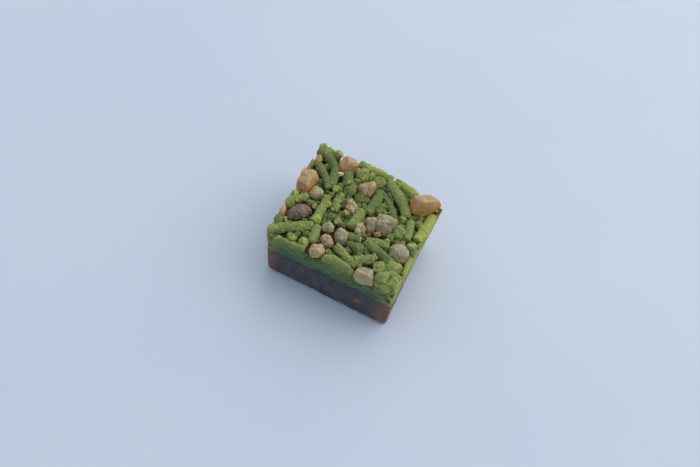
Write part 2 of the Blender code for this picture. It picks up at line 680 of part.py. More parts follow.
def trim_low(obj):
    """Cut the low bit of chestnut flush with the front of the red-bean layer."""
    bm = bmesh.new()
    bm.from_mesh(obj.data)
    face_y = plan_point(BASE_BIT_SHARE, 0.0, BASE_BIT[2]).y
    cut_faces = bmesh.ops.bisect_plane(bm, geom=bm.verts[:] + bm.edges[:] + bm.faces[:],
                                       plane_co=(0.0, face_y * MM, 0.0), plane_no=(0.0, -1.0, 0.0),
                                       clear_outer=True)
    rim = [part for part in cut_faces["geom_cut"] if isinstance(part, bmesh.types.BMEdge)]
    bmesh.ops.contextual_create(bm, geom=rim)
    bm.to_mesh(obj.data)
    bm.free()


def centre(collection):
    """Place every piece so that the origin is in the middle of the foot of the block."""
    for obj in collection.objects:
        obj.location = (-PLAN_MIDDLE[0] * MM, -PLAN_MIDDLE[1] * MM, 0.0)


def main():
    clear_scene()
    block = new_collection("matcha bean paste block")
    cutters = new_collection("cutters")
    base_layer(block, cutters)
    matcha_layer(block, cutters)
    toppings(block, cutters)
    centre(block)


main()
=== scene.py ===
# %% [markdown]
# # A cut block of sieved matcha paste over red-bean paste
#
# The sweet is a small block cut by hand with a knife. Its lower half is dark red-bean paste. On
# top lies matcha-green bean paste that was pressed through a coarse sieve, so it is a heap of
# short strands and broken bits, pressed together just enough to hold. Pieces of candied chestnut
# and one whole red bean lie in it, and the knife smeared the strands flat on all four sides.
#
# This script dresses the imported solids. It makes the real strands, bits and crumbs as meshes over
# a core of their own, and leaves every piece where its solid is.
# %% Load the frame
import math
import random

import bmesh
import bpy
import numpy as np
from mathutils import Matrix, Vector, noise
from mathutils.bvhtree import BVHTree


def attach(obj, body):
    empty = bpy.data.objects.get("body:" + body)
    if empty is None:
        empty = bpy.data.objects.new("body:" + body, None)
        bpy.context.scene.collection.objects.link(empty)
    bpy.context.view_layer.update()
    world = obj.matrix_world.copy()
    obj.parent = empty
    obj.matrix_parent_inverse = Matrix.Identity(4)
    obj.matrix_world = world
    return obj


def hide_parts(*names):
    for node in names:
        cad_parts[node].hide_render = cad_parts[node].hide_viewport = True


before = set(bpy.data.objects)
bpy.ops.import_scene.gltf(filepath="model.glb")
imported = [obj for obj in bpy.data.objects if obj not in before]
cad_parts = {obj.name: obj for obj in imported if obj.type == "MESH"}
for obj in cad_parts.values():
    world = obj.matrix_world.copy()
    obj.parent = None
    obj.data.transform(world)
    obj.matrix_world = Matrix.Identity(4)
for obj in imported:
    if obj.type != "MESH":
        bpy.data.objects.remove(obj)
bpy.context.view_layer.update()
MM = 0.001


# %% [markdown]
# ## The plan of the block
#
# A knife leaves four nearly upright faces that are never quite square or plumb. The block is
# therefore described by its four plan corners at three heights, and everything else asks where
# those faces are. The same numbers made the solids, so a strand lands where its solid is. They
# are millimetres in a layout of their own, and PLAN_SHIFT moves them to the frame.
# %% Corners and heights of the block
PLAN_SHIFT = (0.27, -0.90, 0.0)
FOOT_CORNERS = ((-21.5, -19.3), (23.3, -19.5), (20.9, 19.6), (-23.0, 20.2))
SEAM_CORNERS = ((-22.2, -19.6), (23.2, -19.0), (22.6, 19.6), (-23.4, 20.6))
TOP_CORNERS = ((-23.1, -19.9), (22.4, -18.7), (23.4, 19.6), (-23.9, 21.0))
TOP_HEIGHTS = (21.6, 23.2, 21.2, 23.2)
BACK_PILE, BACK_START, BACK_BULGE = 0.9, 0.7, 1.1
SEAM_HEIGHT, TOP_HEIGHT, SEAM_WAVE = 12.3, 22.3, 0.6
FRONT_SHELF_DEPTH, FRONT_SHELF_REACH = 1.0, 0.12   # mm, and share of the depth of the block
PRESSED_IN = 0.45   # how far soft paste is pressed against a firm topping


def shares(x, y):
    """Roughly where plan points lie between the block's sides, from 0 to 1."""
    u = (x - TOP_CORNERS[0][0]) / (TOP_CORNERS[1][0] - TOP_CORNERS[0][0])
    v = (y - TOP_CORNERS[0][1]) / (TOP_CORNERS[3][1] - TOP_CORNERS[0][1])
    return np.clip(u, 0.0, 1.0), np.clip(v, 0.0, 1.0)


def top_height(x, y):
    """Height of the strands' crests over plan points, piled a little higher at the back."""
    u, v = shares(x, y)
    front = TOP_HEIGHTS[0] * (1 - u) + TOP_HEIGHTS[1] * u
    back = TOP_HEIGHTS[3] * (1 - u) + TOP_HEIGHTS[2] * u
    pile = BACK_PILE * np.sin(math.pi * u) * np.clip((v - BACK_START) / (1 - BACK_START), 0.0, 1.0)
    return front * (1 - v) + back * v + pile


def shelf_drop(x, y):
    """How much lower the heap lies along the front left edge."""
    u, v = shares(x, y)
    return FRONT_SHELF_DEPTH * np.clip(2 - 4 * u, 0.0, 1.0) * np.clip(1 - v / FRONT_SHELF_REACH, 0.0, 1.0)


def seam_height(x, y):
    """The wavy seam between the two layers."""
    return SEAM_HEIGHT + SEAM_WAVE * (0.6 * np.sin(x * 0.16 + 0.9) + 0.4 * np.sin(x * 0.43 + y * 0.21))


print("crests stand", round(float(top_height(0.0, 0.0)), 2), "mm high in the middle")

# %% [markdown]
# ## The knife
#
# Cutting with a Boolean would be exact, but a knife doesn't cut paste cleanly: it presses what
# sticks out back onto its own plane and drags it along. So every point that reaches past one of
# the four planes is moved back onto it. Each strand can stop at a slightly different depth, and
# that keeps the strands readable in the cut face.
# %% Two noises: one for smooth relief, one for crumbs
JOINT_WIDTH = 0.3   # of the sunk joints between crumbs, in sizes of a crumb


def smooth(points, size, seed=0.0):
    """Seeded smooth noise, about -0.9 to 0.9, for rows of points. Size may differ by axis."""
    places = points / np.array(size) + np.array((seed * 1.7, seed * 3.1, seed * 5.3 + 0.5))
    return np.array([noise.noise(place) for place in places.tolist()])


def crumbly(points, size, seed=0.0):
    """For each point: 0 in a joint between crumbs and 1 on a crumb, and the height of its own crumb."""
    places = points / size + np.array((seed * 1.3, seed * 2.9, seed * 4.7 + 0.5))
    joint, own = np.empty(len(points)), np.empty(len(points))
    for index, place in enumerate(places.tolist()):
        distances, centres = noise.voronoi(place)
        joint[index] = distances[1] - distances[0]
        own[index] = noise.cell(centres[0] * 3.7)
    return np.clip(joint / JOINT_WIDTH, 0.0, 1.0), own


line = np.column_stack((np.arange(0.0, 40.0, 0.5), np.zeros((80, 2))))
print("smooth noise goes from", round(smooth(line, 1.0).min(), 2), "to", round(smooth(line, 1.0).max(), 2))

# %% Press whatever reaches past the knife back onto its plane
CORNER_RADIUS = 0.9


def corners_at(heights):
    """The block's plan corners at each height, front left first, then round to the back left."""
    rows = (FOOT_CORNERS, SEAM_CORNERS, TOP_CORNERS)
    foot, seam, top = (np.array(corners)[:, None, :] for corners in rows)
    low = (heights / SEAM_HEIGHT)[None, :, None]
    high = ((heights - SEAM_HEIGHT) / (TOP_HEIGHT - SEAM_HEIGHT))[None, :, None]
    return np.where(low < 1.0, foot + (seam - foot) * low, seam + (top - seam) * high)


def depth_inside(points, side, bulge):
    """How far points lie inside one side's plane, and that plane's outward direction."""
    corners = corners_at(points[:, 2])
    start, end = corners[side], corners[(side + 1) % 4]
    run = end - start
    length = np.linalg.norm(run, axis=1)
    run /= length[:, None]
    out = np.stack((run[:, 1], -run[:, 0]), axis=1)
    offset = points[:, :2] - start
    depth = -(offset * out).sum(axis=1)
    if side == 2 and bulge:
        along = np.clip((offset * run).sum(axis=1) / length, 0.0, 1.0)
        depth += bulge * np.sin(math.pi * along)
    return depth, out


def cut_to_block(points, inset=0.0, relief=None, bulge=BACK_BULGE, corner=CORNER_RADIUS):
    """Press points back inside the four planes, with the upright edges rounded."""
    for side in range(4):
        depth, out = depth_inside(points, side, bulge)
        wanted = inset if relief is None else inset + relief(points, side)
        past = np.maximum(wanted - depth, 0.0)
        points[:, :2] -= out * past[:, None]
    for side in range(4):
        depth, out = depth_inside(points, side, bulge)
        other_depth, other_out = depth_inside(points, (side + 1) % 4, bulge)
        over = np.stack((corner + inset - depth, corner + inset - other_depth), axis=1)
        reach = np.linalg.norm(over, axis=1)
        near = (over > 0.0).all(axis=1) & (reach > corner)
        pull = np.where(near, 1.0 - corner / np.maximum(reach, 1e-6), 0.0)
        points[:, :2] -= out * (over[:, 0] * pull)[:, None] + other_out * (over[:, 1] * pull)[:, None]
    return points


print("the front face is", round(math.dist(TOP_CORNERS[0], TOP_CORNERS[1]), 1), "mm wide")

# %% [markdown]
# ## From shells to pieces
#
# A heap of this kind has well over a hundred separate bodies. Each is made as a shell, that is,
# its points, its faces and which finish each face has. Shells of one kind are then joined to one
# mesh, which loads and exports far faster than many objects.
# %% Join shells to a piece that rides on the block
PIECES = {}


def ball(detail):
    """Directions and faces of an even ball of triangles."""
    bm = bmesh.new()
    bmesh.ops.create_icosphere(bm, subdivisions=detail, radius=1.0)
    directions = np.array([vert.co.normalized() for vert in bm.verts])
    faces = [tuple(vert.index for vert in face.verts) for face in bm.faces]
    bm.free()
    return directions, faces


BALLS = {detail: ball(detail) for detail in (2, 3, 4, 5, 6)}


def piece(name, shells, finishes, nodes=()):
    """One mesh of many shells: each is points in mm, faces, and the number of each face's finish."""
    points, faces, finish_numbers = [], [], []
    start = 0
    for shell_points, shell_faces, shell_finishes in shells:
        points.append(shell_points)
        faces += [tuple(index + start for index in face) for face in shell_faces]
        finish_numbers += shell_finishes
        start += len(shell_points)
    mesh = bpy.data.meshes.new(name)
    in_metres = (np.concatenate(points) + np.array(PLAN_SHIFT)) * MM
    mesh.from_pydata(in_metres.tolist(), [], faces)
    for finish in finishes:
        mesh.materials.append(finish)
    mesh.polygons.foreach_set("material_index", finish_numbers)
    mesh.shade_smooth()
    mesh.update()
    obj = bpy.data.objects.new(name, mesh)
    bpy.context.scene.collection.objects.link(obj)
    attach(obj, "root")
    if nodes:
        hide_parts(*nodes)
    triangles = sum(len(face) - 2 for face in faces)
    PIECES[name] = triangles
    print(f"{name}: {len(shells)} shells, {triangles} triangles")
    return obj


# %% [markdown]
# ## Finishes that several pieces share
#
# Bean paste has no sheen of its own. What the eye reads is its grain, fine meal at about a tenth
# of a millimetre, and slow patches where it is drier or wetter. Both are needed for the green and
# the red paste and for the chestnut, so they are node groups: "grain" gives heights for a bump and
# "patches" mixes two colours. A third group paints shade: it changes a colour below a height and
# away from the ends of the block.
# %% Helpers that add a node and give its inputs their values
FLOAT, COLOUR = "NodeSocketFloat", "NodeSocketColor"
WHITE, BLACK = (1.0, 1.0, 1.0, 1.0), (0.0, 0.0, 0.0, 1.0)
MM_PER_METRE = 1000.0


def feed(tree, node, values):
    """Set inputs to numbers and colours, and link those whose value is another node's output."""
    for key, value in values.items():
        if isinstance(value, bpy.types.NodeSocket):
            tree.links.new(value, node.inputs[key])
        else:
            node.inputs[key].default_value = value


def add(tree, kind, values=None, **settings):
    """A shader node with its settings and its input values."""
    node = tree.nodes.new("ShaderNode" + kind)
    for key, value in settings.items():
        setattr(node, key, value)
    feed(tree, node, values or {})
    return node


def maths(tree, operation, *values, clamp=False):
    """The result of a sum on numbers or outputs."""
    return add(tree, "Math", dict(enumerate(values)), operation=operation, use_clamp=clamp).outputs[0]


def mix(tree, share, first, second):
    """Two colours mixed."""
    return add(tree, "Mix", {"Factor": share, "A": first, "B": second}, data_type="RGBA").outputs["Result"]


def ramp(tree, value, start, end, low=0.0, high=1.0, kind="SMOOTHSTEP"):
    """A number that goes from low to high while the value goes from start to end."""
    limits = {"Value": value, "From Min": start, "From Max": end, "To Min": low, "To Max": high}
    return add(tree, "MapRange", limits, interpolation_type=kind).outputs[0]


def cloud(tree, place, scale, detail, roughness=0.5):
    """Heights of a noise."""
    values = {"Vector": place, "Scale": scale, "Detail": detail, "Roughness": roughness}
    return add(tree, "TexNoise", values).outputs[0]


def new_group(name, inputs, outputs):
    """A node group with named inputs and outputs: what it is given, and each point's place."""
    group = bpy.data.node_groups.new(name, "ShaderNodeTree")
    for socket_name, value in inputs.items():
        kind = FLOAT if isinstance(value, float) else COLOUR
        group.interface.new_socket(name=socket_name, in_out="INPUT", socket_type=kind).default_value = value
    for socket_name, kind in outputs.items():
        group.interface.new_socket(name=socket_name, in_out="OUTPUT", socket_type=kind)
    return group, group.nodes.new("NodeGroupInput").outputs, add(group, "TexCoord").outputs["Object"]


# %% The grain of meal, with the few brightest specks
COARSE_SCALE, SPECKS_FROM, SPECKS_FULL = 0.32, 0.62, 0.72
grain_group, given, place = new_group(
    "grain", {"Size in mm": 0.2, "Coarse share": 0.5}, {"Height": FLOAT, "Specks": FLOAT})
per_size = maths(grain_group, "DIVIDE", MM_PER_METRE, given["Size in mm"])
fine = cloud(grain_group, place, per_size, 3.0, 0.6)
coarse = cloud(grain_group, place, maths(grain_group, "MULTIPLY", per_size, COARSE_SCALE), 2.0)
feed(grain_group, grain_group.nodes.new("NodeGroupOutput"), {
    "Height": add(grain_group, "Mix", {"Factor": given["Coarse share"], "A": fine, "B": coarse}).outputs[0],
    "Specks": ramp(grain_group, fine, SPECKS_FROM, SPECKS_FULL, kind="LINEAR")})

# %% Two colours in patches
patches_group, given, place = new_group(
    "patches", {"First": WHITE, "Second": BLACK, "Size in mm": 4.0, "Sharpness": 2.0},
    {"Colour": COLOUR, "Share": FLOAT})
per_size = maths(patches_group, "DIVIDE", MM_PER_METRE, given["Size in mm"])
clouds = cloud(patches_group, place, per_size, 4.0, 0.55)
centred = maths(patches_group, "SUBTRACT", clouds, 0.5)
share = maths(patches_group, "MULTIPLY_ADD", centred, given["Sharpness"], 0.5, clamp=True)
feed(patches_group, patches_group.nodes.new("NodeGroupOutput"), {
    "Colour": mix(patches_group, share, given["First"], given["Second"]), "Share": share})

# %% Painted shade that fades with height and towards the two ends
RAGGED_SCALE, RAGGED_MM = 900.0, 2.0
painted_shade_group, given, place = new_group(
    "painted_shade", {"Colour": WHITE, "Shade": BLACK, "Full below mm": 12.0, "None above mm": 15.0,
              "Fades past mm": 500.0, "Gone past mm": 600.0}, {"Colour": COLOUR})
along = add(painted_shade_group, "SeparateXYZ", {0: place}).outputs
height = maths(painted_shade_group, "MULTIPLY", along["Z"], MM_PER_METRE)
ragged = maths(painted_shade_group, "MULTIPLY_ADD", cloud(painted_shade_group, place, RAGGED_SCALE, 3.0), RAGGED_MM, height)
aside = maths(painted_shade_group, "ABSOLUTE", maths(painted_shade_group, "MULTIPLY", along["X"], MM_PER_METRE))
share = maths(painted_shade_group, "MULTIPLY",
              ramp(painted_shade_group, ragged, given["Full below mm"], given["None above mm"], 1.0, 0.0),
              ramp(painted_shade_group, aside, given["Fades past mm"], given["Gone past mm"], 1.0, 0.0))
feed(painted_shade_group, painted_shade_group.nodes.new("NodeGroupOutput"), {
    "Colour": mix(painted_shade_group, share, given["Colour"], given["Shade"])})
print("node groups:", [group.name for group in bpy.data.node_groups])


# %% A material to start from, with the groups placed in it
def colour(red, green, blue):
    """A colour given in the 0 to 255 of a picture, as the linear light that shaders use."""
    linear = [((c / 255 + 0.055) / 1.055) ** 2.4 if c > 10 else c / 255 / 12.92 for c in (red, green, blue)]
    return (*linear, 1.0)


def new_finish(name, shader_values):
    """A material with a Principled shader, and values set on the shader's own sockets."""
    material = bpy.data.materials.new(name)
    material.use_nodes = True
    shader = material.node_tree.nodes["Principled BSDF"]
    feed(material.node_tree, shader, shader_values)
    return material, material.node_tree, shader


def placed(tree, group, values):
    """The outputs of a shared group that is placed in a material with its own values."""
    node = add(tree, "Group", node_tree=group)
    feed(tree, node, values)
    return node.outputs


def in_patches(tree, first, second, size, sharpness):
    """Two colours in patches: the outputs are the colour and the second one's share."""
    return placed(tree, patches_group, {"First": first, "Second": second, "Size in mm": size,
                                        "Sharpness": sharpness})


def with_painted_shade(tree, base, painted_shade, full_below, none_above, fades_past, gone_past):
    """A colour with painted shade, whose limits are millimetres up and to either side."""
    return placed(tree, painted_shade_group, {
        "Colour": base, "Shade": painted_shade, "Full below mm": full_below, "None above mm": none_above,
        "Fades past mm": fades_past, "Gone past mm": gone_past})["Colour"]


def add_grain(tree, shader, size, coarse_share, height_mm):
    """Bump from the shared grain, and the grain's outputs for whoever wants its specks."""
    grain = placed(tree, grain_group, {"Size in mm": size, "Coarse share": coarse_share})
    bump = add(tree, "Bump", {"Strength": 1.0, "Distance": height_mm * MM, "Height": grain["Height"]})
    feed(tree, shader, {"Normal": bump.outputs["Normal"]})
    return grain


# %% [markdown]
# ## Matcha paste
#
# The paste is a dry, mealy bean paste. Its skin is a soft green, and where a strand is broken or
# rubbed the inside shows lighter and yellower. Strands that lie lower or turn from the window get a
# duller green, which is painted shade, and deep in the gaps a nearly black green, also painted shade.
# So there are four greens of one recipe. Lower in the heap and towards the red paste the green is
# painted duller and bluer, which is painted shade too. A little light passes through the thin edges.
# %% Finishes for the green layer
# Skin and broken are the paste's own greens; deep and shaded are painted shade, for deep gaps and for
# strands that lie lower or turn from the window.
SKIN, BROKEN, DEEP_SHADE, SHADED = range(4)
GREENS = {   # two greens in patches, dark specks, rubbed spots, then patch size and grain depth in mm
    "matcha skin": ((144, 152, 84), (114, 128, 74), (86, 102, 56), (178, 180, 100), 4.0, 0.12),
    "broken matcha": ((180, 182, 94), (150, 158, 82), (114, 128, 62), (200, 202, 114), 2.0, 0.16),
    "deep shade matcha": ((56, 74, 40), (40, 56, 34), (24, 38, 24), (72, 92, 48), 3.0, 0.16),
    "shaded matcha": ((116, 130, 74), (90, 108, 62), (66, 84, 46), (150, 158, 88), 4.0, 0.14),
}
# Painted shade: a duller green low in the heap, and a darker, bluer green towards the seam.
LOW_SHADE_GREEN, SEAM_SHADE_GREEN = colour(90, 110, 64), colour(72, 96, 72)
RUBBED_SHARE = 0.28


def matcha_finish(name, first, second, dark, rubbed, size, grain_mm):
    """Green paste: patches, dark specks of tea, rubbed spots, then painted shade: duller and bluer further
    down.
    """
    material, tree, shader = new_finish(name, {
        "Roughness": 0.86, "Specular IOR Level": 0.28, "Subsurface Weight": 0.18,
        "Subsurface Radius": (0.8, 1.0, 0.25), "Subsurface Scale": 0.8 * MM, "Sheen Weight": 0.30,
        "Sheen Roughness": 0.45, "Sheen Tint": colour(220, 228, 150)})
    green = in_patches(tree, colour(*first), colour(*second), size, 3.2)["Colour"]
    green = in_patches(tree, green, colour(*dark), 0.55, 2.0)["Colour"]
    worn = in_patches(tree, green, colour(*rubbed), 0.6, 4.0)["Colour"]
    green = mix(tree, RUBBED_SHARE, green, worn)
    # Painted shade below the crests and towards the seam, fading near the ends.
    green = with_painted_shade(tree, green, LOW_SHADE_GREEN, 17.0, 21.8, 16.0, 23.0)
    green = with_painted_shade(tree, green, SEAM_SHADE_GREEN, 13.6, 18.6, 15.0, 23.5)
    feed(tree, shader, {"Base Color": green})
    add_grain(tree, shader, 0.16, 0.45, grain_mm)
    return material


MATCHA = tuple(matcha_finish(name, *values) for name, values in GREENS.items())
print("greens:", [material.name for material in MATCHA])

# %% [markdown]
# ## Red-bean paste, chestnut and bean skin
#
# The red paste is smooth and moist. It is red-brown at the ends of the block and is painted nearly
# slate in the middle, partly its own colour and partly painted shade for the floor's blue light, with a
# dark teal band of painted shade below the seam. The candied chestnut is steeped in syrup, so light
# enters it. Scattering below the surface and a little transmission do most of that, and faces that
# look down get a painted glow for the light that comes through from above. Its thin rims get a painted
# amber glow, its upward faces turn greyer in dusty patches, partly sugar bloom and partly painted sky
# reflection, and whitish specks stand for sugar and painted glints. The bean is a wrinkled skin with a
# dull shine.
# %% Finish for the red layer
SKIN_FLECKS_SHARE = 0.3


def bean_paste_finish():
    """Moist paste, red-brown with flecks of bean skin at the ends, painted slate in the middle as partly
    painted shade, and a dark teal band of painted shade below the seam.
    """
    material, tree, shader = new_finish("red bean paste", {
        "Specular IOR Level": 0.4, "Subsurface Weight": 0.05, "Subsurface Scale": 0.5 * MM})
    red_brown = in_patches(tree, colour(134, 96, 78), colour(107, 76, 68), 5.0, 3.0)["Colour"]
    flecks = in_patches(tree, red_brown, colour(122, 66, 60), 1.3, 9.0)
    slate_shade = in_patches(tree, colour(80, 76, 74), colour(56, 56, 58), 3.0, 3.0)["Colour"]
    paste = mix(tree, SKIN_FLECKS_SHARE, red_brown, flecks["Colour"])
    # Painted shade: the middle of each face is painted slate, darker and bluer than the red-brown ends,
    # partly as the paste's own colour.
    paste = with_painted_shade(tree, paste, slate_shade, 40.0, 41.0, 15.5, 22.8)
    # Painted shade: a dark teal band fades down from the seam, away from the ends.
    paste = with_painted_shade(tree, paste, colour(48, 62, 60), 14.0, 9.0, 15.0, 23.5)
    feed(tree, shader, {
        "Base Color": paste, "Roughness": ramp(tree, flecks["Share"], 0.0, 1.0, 0.48, 0.72, "LINEAR")})
    add_grain(tree, shader, 0.3, 0.6, 0.10)
    return material


bean_paste = bean_paste_finish()
print("red layer:", bean_paste.name)

# %% Finishes for the chestnut pieces
CHESTNUTS = {   # two flesh colours, rim glow (painted), bloom and painted sky sheen, most of it, sugar and painted glint specks, grain in mm, clearness, gloss, glow
    "amber chestnut": ((206, 168, 98), (168, 132, 76), (208, 148, 76), (190, 170, 124),
                       0.9, 0.35, 0.03, 0.40, 0.4, 0.20),
    "dusty chestnut": ((184, 170, 128), (132, 128, 102), (188, 158, 114), (138, 138, 116),
                       0.9, 0.6, 0.06, 0.12, 0.05, 0.08),
    "sugared chestnut": ((184, 160, 116), (142, 124, 92), (196, 150, 98), (176, 162, 132),
                         0.8, 0.9, 0.06, 0.12, 0.05, 0.12),
    "pale scrap": ((234, 212, 178), (214, 190, 156), (236, 212, 174), (236, 216, 188),
                   0.3, 0.3, 0.05, 0.1, 0.0, 0.1),
    "soaked chestnut": ((134, 92, 66), (104, 74, 58), (128, 88, 62), (120, 90, 70),
                        0.3, 0.2, 0.05, 0.0, 0.0, 0.0),
}
# Colour of the whitish specks, partly sugar and partly painted glints, and the share of the painted rim
# glow.
SUGAR_AND_GLINT, RIM_GLOW_SHARE = colour(226, 212, 186), 0.75


def chestnut_finish(name, first, second, rim, bloom_and_sky_sheen, most_bloom_and_sheen, sugar_and_glints, grain_mm, clear, gloss, glow):
    """Translucent flesh: a painted amber rim glow, a top greyed in dusty patches that is partly bloom and
    partly painted sky sheen, sugar and painted glint specks, and a painted glow from light through from
    above.
    """
    material, tree, shader = new_finish(name, {
        "Subsurface Weight": 0.9, "Subsurface Radius": (1.0, 0.58, 0.28), "Subsurface Scale": 2.4 * MM,
        "Transmission Weight": clear, "Coat Weight": gloss, "Coat Roughness": 0.15,
        "Emission Strength": glow})
    upward = add(tree, "SeparateXYZ", {0: add(tree, "NewGeometry").outputs["Normal"]}).outputs["Z"]
    edge = add(tree, "LayerWeight", {"Blend": 0.5}).outputs["Facing"]
    grain = add_grain(tree, shader, 0.28, 0.55, grain_mm)
    dust = in_patches(tree, BLACK, WHITE, 0.7, 2.6)["Share"]
    flesh = in_patches(tree, colour(*first), colour(*second), 2.2, 2.4)["Colour"]
    # Painted sky sheen: upward faces go greyer in dusty patches, partly as sugar bloom.
    bloom_and_sheen_share = maths(tree, "MULTIPLY", ramp(tree, upward, 0.15, 0.95, 0.0, most_bloom_and_sheen), dust)
    flesh = mix(tree, bloom_and_sheen_share, flesh, colour(*bloom_and_sky_sheen))
    # Painted rim glow: faces that turn from the view go amber, as if lit through their thin edges.
    flesh = mix(tree, ramp(tree, edge, 0.25, 0.85, 0.0, RIM_GLOW_SHARE), flesh, colour(*rim))
    # Whitish specks, partly sugar and partly painted glints.
    flesh = mix(tree, maths(tree, "MULTIPLY", grain["Specks"], sugar_and_glints), flesh, SUGAR_AND_GLINT)
    # Painted glow: faces that look down emit the rim colour.
    feed(tree, shader, {
        "Base Color": flesh, "Roughness": ramp(tree, dust, 0.0, 1.0, 0.36, 0.7, "LINEAR"),
        "Emission Color": mix(tree, ramp(tree, upward, 0.45, -0.35), BLACK, colour(*rim))})
    return material


amber_chestnut, dusty_chestnut, sugared_chestnut, pale_scrap, soaked_chestnut = (
    chestnut_finish(name, *values) for name, values in CHESTNUTS.items())
print("chestnut finishes:", list(CHESTNUTS))


# %% Finishes for the bean
def bean_finish(name, first, second, fold):
    """Brown skin with a grey and purple cast, and small darker patches."""
    material, tree, shader = new_finish(name, {
        "Roughness": 0.45, "Subsurface Weight": 0.12, "Subsurface Scale": 0.6 * MM, "Coat Weight": 0.1,
        "Coat Roughness": 0.3})
    skin = in_patches(tree, colour(*first), colour(*second), 1.6, 3.0)["Colour"]
    feed(tree, shader, {"Base Color": in_patches(tree, skin, colour(*fold), 0.6, 2.5)["Colour"]})
    add_grain(tree, shader, 0.22, 0.5, 0.06)
    return material


azuki_skin = bean_finish("azuki skin", (146, 118, 88), (104, 82, 66), (70, 54, 48))
dark_scrap = bean_finish("dark bean skin", (72, 54, 54), (46, 36, 38), (26, 20, 22))
print("finishes in all:", len(bpy.data.materials))

# %% [markdown]
# ## The toppings: candied chestnut and the bean
#
# A candied chestnut crumbles into lumps with a few broken flats, small knobs, and two lobes where
# the nut's folds parted. Each lump starts as a ball whose radius follows joined lobes and knobs,
# cut by broken flats that are softened a little. Wrinkles, narrow clefts and crumbs with sunk
# joints come last. The lumps lie on or in the heap, so their places are also what every strand has
# to keep clear of.
# %% Places of the chestnut pieces and the bean
SEED = 11
TOPPINGS = {   # x, y, heading, half length, half width, half height, proud of the crests, lobes' spread
    "chestnut_back": (-11.7, 18.4, 21, 3.4, 3.0, 3.4, 2.2, 0.0),
    "chestnut_left": (-21.5, 5.7, 78, 4.9, 2.9, 2.9, 1.1, 0.40),
    "chestnut_left_small": (-16.2, 2.6, 37, 2.5, 2.3, 2.4, 0.6, 0.0),
    "chestnut_heart": (-2.3, 13.0, 28, 2.9, 2.5, 2.5, 0.6, 0.40),
    "chestnut_rough": (-3.5, 3.4, 37, 2.3, 1.8, 2.0, 0.3, 0.35),
    "azuki_bean": (-17.6, -7.0, 50, 4.3, 2.9, 2.7, 0.5, 0.0),
    "chestnut_middle_left": (-6.4, -7.9, 27, 2.1, 1.8, 2.0, 0.5, 0.0),
    "chestnut_middle": (-1.2, -8.4, -61, 3.1, 2.4, 2.5, 0.6, 0.0),
    "chestnut_speckled": (-4.5, -12.5, -38, 2.5, 1.9, 2.3, 0.5, 0.0),
    "chestnut_front_left": (-5.7, -17.1, 35, 2.8, 1.8, 2.3, -0.1, 0.35),
    "chestnut_centre": (3.0, -3.6, 37, 2.1, 1.8, 2.0, 0.3, 0.35),
    "chestnut_slim": (5.0, 0.6, -58, 3.1, 1.5, 2.2, 0.4, 0.3),
    "chestnut_centre_large": (8.8, 3.4, -52, 4.1, 2.7, 2.9, 1.0, 0.3),
    "chestnut_centre_small": (8.4, -2.0, 20, 1.4, 0.9, 1.3, 0.0, 0.0),
    "chestnut_corner": (17.6, 17.2, 34, 5.5, 3.0, 3.8, 4.1, 0.30),
    "chestnut_right": (17.9, -5.0, -59, 3.6, 2.8, 2.7, 0.5, 0.3),
    "chestnut_front": (11.5, -18.0, 19, 3.4, 2.9, 3.0, -0.2, 0.4),
    "chestnut_back_left": (-21.9, 15.3, 100, 2.0, 1.2, 1.8, 0.2, 0.0),
    "chestnut_left_edge": (-22.3, -9.6, 100, 2.2, 1.2, 1.7, 0.0, 0.0),
}
SQUARENESS = 2.6
LOBE_OFFSET, LOBE_JOIN, BRIDGE_SHARE = 0.05, 0.05, 0.92
BASE_BIT, BASE_BIT_SIZE = (11.9, -18.3, 6.6), (1.8, 1.3, 1.4)


def topping_share(points, name, margin):
    """How far out points lie from a topping's middle, under 1 inside it. With x and y only, in plan."""
    x, y, heading, length, width, height, proud, _ = TOPPINGS[name]
    turn = math.radians(heading)
    off_x, off_y = points[:, 0] - x, points[:, 1] - y
    along = np.abs(off_x * math.cos(turn) + off_y * math.sin(turn)) / (length + margin)
    across = np.abs(off_y * math.cos(turn) - off_x * math.sin(turn)) / (width + margin)
    total = along ** SQUARENESS + across ** SQUARENESS
    if points.shape[1] == 3:
        middle = top_height(x, y) + proud - height
        total += (np.abs(points[:, 2] - middle) / (height + margin)) ** SQUARENESS
    return total ** (1 / SQUARENESS)


def is_clear(points, margin):
    """Whether round pieces of that radius keep clear of every topping."""
    return np.all([topping_share(points, name, margin) > 1.0 for name in TOPPINGS], axis=0)


print("toppings:", len(TOPPINGS))


# %% Shape one lump from joined lobes and broken flats
def lobed_radius(directions, lobes, flats, soften):
    """Distance from the middle to the surface in each direction."""
    reach = np.zeros(len(directions))
    for centre, size in lobes:
        along = directions @ np.array(centre)
        inside = along ** 2 - np.dot(centre, centre) + size * size
        lobe = np.where(inside > 0, along + np.sqrt(np.maximum(inside, 0)), 0)
        reach = LOBE_JOIN * np.logaddexp(reach / LOBE_JOIN, lobe / LOBE_JOIN)
    for normal, distance in flats:
        facing = directions @ np.array(normal)
        flat = np.where(facing > 0.05, distance / np.maximum(facing, 0.05), 20.0)
        reach = reach - soften * np.log1p(np.exp(np.clip((reach - flat) / soften, -30, 30)))
    return reach


KNOB_OUT, KNOB_SIZES, BODY_UNDER_KNOBS = 0.56, (0.34, 0.50), 0.90
FLAT_DISTANCES = (0.72, 0.92)


